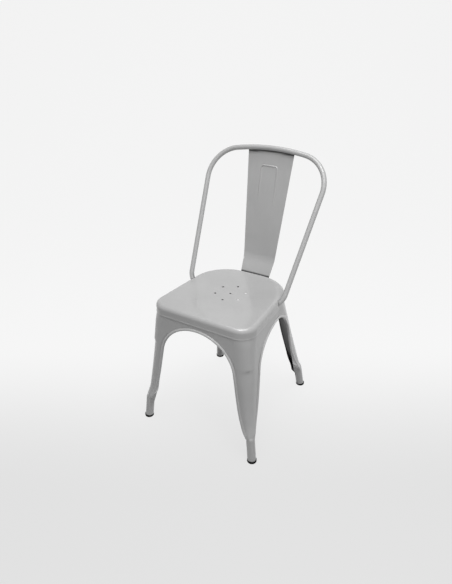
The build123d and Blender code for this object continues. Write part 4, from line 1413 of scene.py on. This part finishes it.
paint = finish("light grey enamel", dark=grey(0.425), light=grey(0.475), speck=grey(0.40),
               roughness=(0.36, 0.48), bump=0.10, coat=0.8, highlight_colour=grey(0.82))
rubber = finish("black rubber", dark=grey(0.008), light=grey(0.014), speck=grey(0.03),
                roughness=(0.65, 0.85), bump=0.35, shine=0.05)
plastic = finish("black plastic", dark=grey(0.02), light=grey(0.03), speck=grey(0.05),
                 roughness=(0.40, 0.55), bump=0.25)
finishes = {"grey_paint": paint, "glide_rubber": rubber, "cap_plastic": plastic}
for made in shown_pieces():
    made.data.materials.clear()
    made.data.materials.append(finishes[made["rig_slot"]])

# %% [markdown]
# ## Floor, light and camera
# A pale floor runs up into a pale backdrop, so that no edge shows behind the chair. Seen directly or
# mirrored in the paint it glows by itself, a little less towards the camera. For all other light it
# is a plain grey surface, and a share of that always shows, so the chair keeps its shadow.

# %% Floor and backdrop
FLOOR_HALF = 6.0
BACKDROP_START = 1.6
BACKDROP_RADIUS = 1.5
BACKDROP_HEIGHT = 4.0
BACKDROP_ROWS = 24
FLOOR_GREY = 0.40
FLOOR_ROUGHNESS = 0.7
FLOOR_PALENESS = 0.8
CAMERA_AZIMUTH = np.radians(31.07)
GLOW_DEPTHS = (-0.45, 0.35)
GLOW_RANGE = (0.86, 1.08)


def sweep_sheet():
    """Floor strip that turns up in a quarter circle into the backdrop, as a profile carried sideways."""
    angle = np.linspace(-np.pi / 2, 0, BACKDROP_ROWS)
    bend = np.column_stack([BACKDROP_START + BACKDROP_RADIUS * np.cos(angle),
                            BACKDROP_RADIUS + BACKDROP_RADIUS * np.sin(angle)])
    top = [BACKDROP_START + BACKDROP_RADIUS, BACKDROP_HEIGHT]
    profile = np.concatenate([[[-FLOOR_HALF, 0]], bend, [top]])
    away = np.array([-np.sin(CAMERA_AZIMUTH), np.cos(CAMERA_AZIMUTH)])
    right = np.array([np.cos(CAMERA_AZIMUTH), np.sin(CAMERA_AZIMUTH)])
    side = np.array([-FLOOR_HALF, FLOOR_HALF])
    plan = profile[:, :1, None] * away + side[:, None] * right
    height = np.broadcast_to(profile[:, 1:, None], plan.shape[:2] + (1,))
    return np.concatenate([plan, height], axis=-1)


grid = sweep_sheet()
mesh = bpy.data.meshes.new("floor")
mesh.from_pydata(grid.reshape(-1, 3).tolist(), [], strip_faces(*grid.shape[:2])[:, ::-1].tolist())
mesh.polygons.foreach_set("use_smooth", np.ones(len(mesh.polygons), bool))
floor = bpy.data.objects.new("floor", mesh)
bpy.context.scene.collection.objects.link(floor)
ground = bpy.data.materials.new("pale floor")
ground.use_nodes = True
tree = ground.node_tree
shader = tree.nodes["Principled BSDF"]
shader.inputs["Base Color"].default_value = grey(FLOOR_GREY)
shader.inputs["Roughness"].default_value = FLOOR_ROUGHNESS
pale = tree.nodes.new("ShaderNodeEmission")
pale.inputs["Color"].default_value = grey(1)
place = tree.nodes.new("ShaderNodeTexCoord")
depth = tree.nodes.new("ShaderNodeVectorMath")
depth.operation = "DOT_PRODUCT"
depth.inputs[1].default_value = (-np.sin(CAMERA_AZIMUTH), np.cos(CAMERA_AZIMUTH), 0)
level = tree.nodes.new("ShaderNodeMapRange")
level.interpolation_type = "SMOOTHSTEP"
for socket, value in zip(("From Min", "From Max", "To Min", "To Max"), GLOW_DEPTHS + GLOW_RANGE):
    level.inputs[socket].default_value = value
link(tree, place.outputs["Object"], depth.inputs[0])
link(tree, depth.outputs["Value"], level.inputs["Value"])
link(tree, level.outputs["Result"], pale.inputs["Strength"])
rays = tree.nodes.new("ShaderNodeLightPath")
direct = tree.nodes.new("ShaderNodeMath")
direct.operation = "MAXIMUM"
seen = tree.nodes.new("ShaderNodeMath")
seen.operation = "MAXIMUM"
share = tree.nodes.new("ShaderNodeMath")
share.operation = "MULTIPLY"
share.inputs[1].default_value = FLOOR_PALENESS
both = tree.nodes.new("ShaderNodeMixShader")
link(tree, rays.outputs["Is Camera Ray"], direct.inputs[0])
link(tree, rays.outputs["Is Glossy Ray"], direct.inputs[1])
link(tree, direct.outputs["Value"], seen.inputs[0])
link(tree, rays.outputs["Is Transmission Ray"], seen.inputs[1])
link(tree, seen.outputs["Value"], share.inputs[0])
link(tree, share.outputs["Value"], both.inputs["Fac"])
link(tree, shader.outputs["BSDF"], both.inputs[1])
link(tree, pale.outputs["Emission"], both.inputs[2])
link(tree, both.outputs["Shader"], tree.nodes["Material Output"].inputs["Surface"])
floor.data.materials.append(ground)
print("floor and backdrop:", len(mesh.polygons), "faces")

# %% [markdown]
# A large and a small lamp overhead and a soft one close to the front right give the studio light.
# The paint mirrors the overhead lamps and a bright room, but the room itself gives little light, so
# that the hollows under the seat stay dark. The paint does not mirror the lamp on the right.

# %% Lamps and world
ROOM_LIGHT = 0.08
ROOM_SEEN = 0.9


def lamp(name, place, aim, size, watts, reflected=True):
    """Square lamp at a place, turned towards a point; reflected says if glossy paint mirrors it."""
    light = bpy.data.lights.new(name, "AREA")
    light.shape = "SQUARE"
    light.size = size
    light.energy = watts
    made = bpy.data.objects.new(name, light)
    made.location = place
    made.visible_glossy = reflected
    direction = np.array(aim) - np.array(place)
    flat = np.hypot(direction[0], direction[1])
    turn = np.arctan2(direction[1], direction[0]) - np.pi / 2
    made.rotation_euler = (np.arctan2(flat, -direction[2]), 0, turn)
    bpy.context.scene.collection.objects.link(made)
    print("lamp", name, "gives", watts, "watts")


lamp("overhead", (0.3, -0.45, 3.0), (0, 0, 0.4), 2.4, 56)
lamp("small overhead", (0.45, -0.8, 3.0), (0, 0, 0.4), 0.5, 10)
lamp("right", (1.1, -0.85, 1.35), (0, 0, 0.4), 1.0, 7.5, reflected=False)
world = bpy.data.worlds.new("studio")
bpy.context.scene.world = world
world.use_nodes = True
tree = world.node_tree
dim = tree.nodes["Background"]
dim.inputs["Color"].default_value = grey(1)
dim.inputs["Strength"].default_value = ROOM_LIGHT
bright = tree.nodes.new("ShaderNodeBackground")
bright.inputs["Color"].default_value = grey(1)
bright.inputs["Strength"].default_value = ROOM_SEEN
rays = tree.nodes.new("ShaderNodeLightPath")
seen = tree.nodes.new("ShaderNodeMath")
seen.operation = "MAXIMUM"
both = tree.nodes.new("ShaderNodeMixShader")
link(tree, rays.outputs["Is Camera Ray"], seen.inputs[0])
link(tree, rays.outputs["Is Glossy Ray"], seen.inputs[1])
link(tree, seen.outputs["Value"], both.inputs["Fac"])
link(tree, dim.outputs["Background"], both.inputs[1])
link(tree, bright.outputs["Background"], both.inputs[2])
link(tree, both.outputs["Shader"], tree.nodes["World Output"].inputs["Surface"])

# %% [markdown]
# The camera stands 1.15 m high, to the right of the chair's front, and looks down at it. Its place,
# slope and lens were fitted to the outline of the real chair. Standard view colours keep the paint's
# grey as it is written.

# %% Camera
CAMERA_PLACE = (0.6842, -1.18145, 1.1501)
CAMERA_DOWN = np.radians(27.78)
CAMERA_LENS = 29.73
CAMERA_SENSOR = 36.0
CAMERA_NEAR = 0.01
view = bpy.data.cameras.new("camera")
view.lens = CAMERA_LENS
view.sensor_width = CAMERA_SENSOR
view.clip_start = CAMERA_NEAR
camera = bpy.data.objects.new("camera", view)
camera.location = CAMERA_PLACE
camera.rotation_euler = (np.pi / 2 - CAMERA_DOWN, 0, CAMERA_AZIMUTH)
bpy.context.scene.collection.objects.link(camera)
scene = bpy.context.scene
scene.camera = camera
scene.view_settings.view_transform = "Standard"
print("camera at", CAMERA_PLACE)
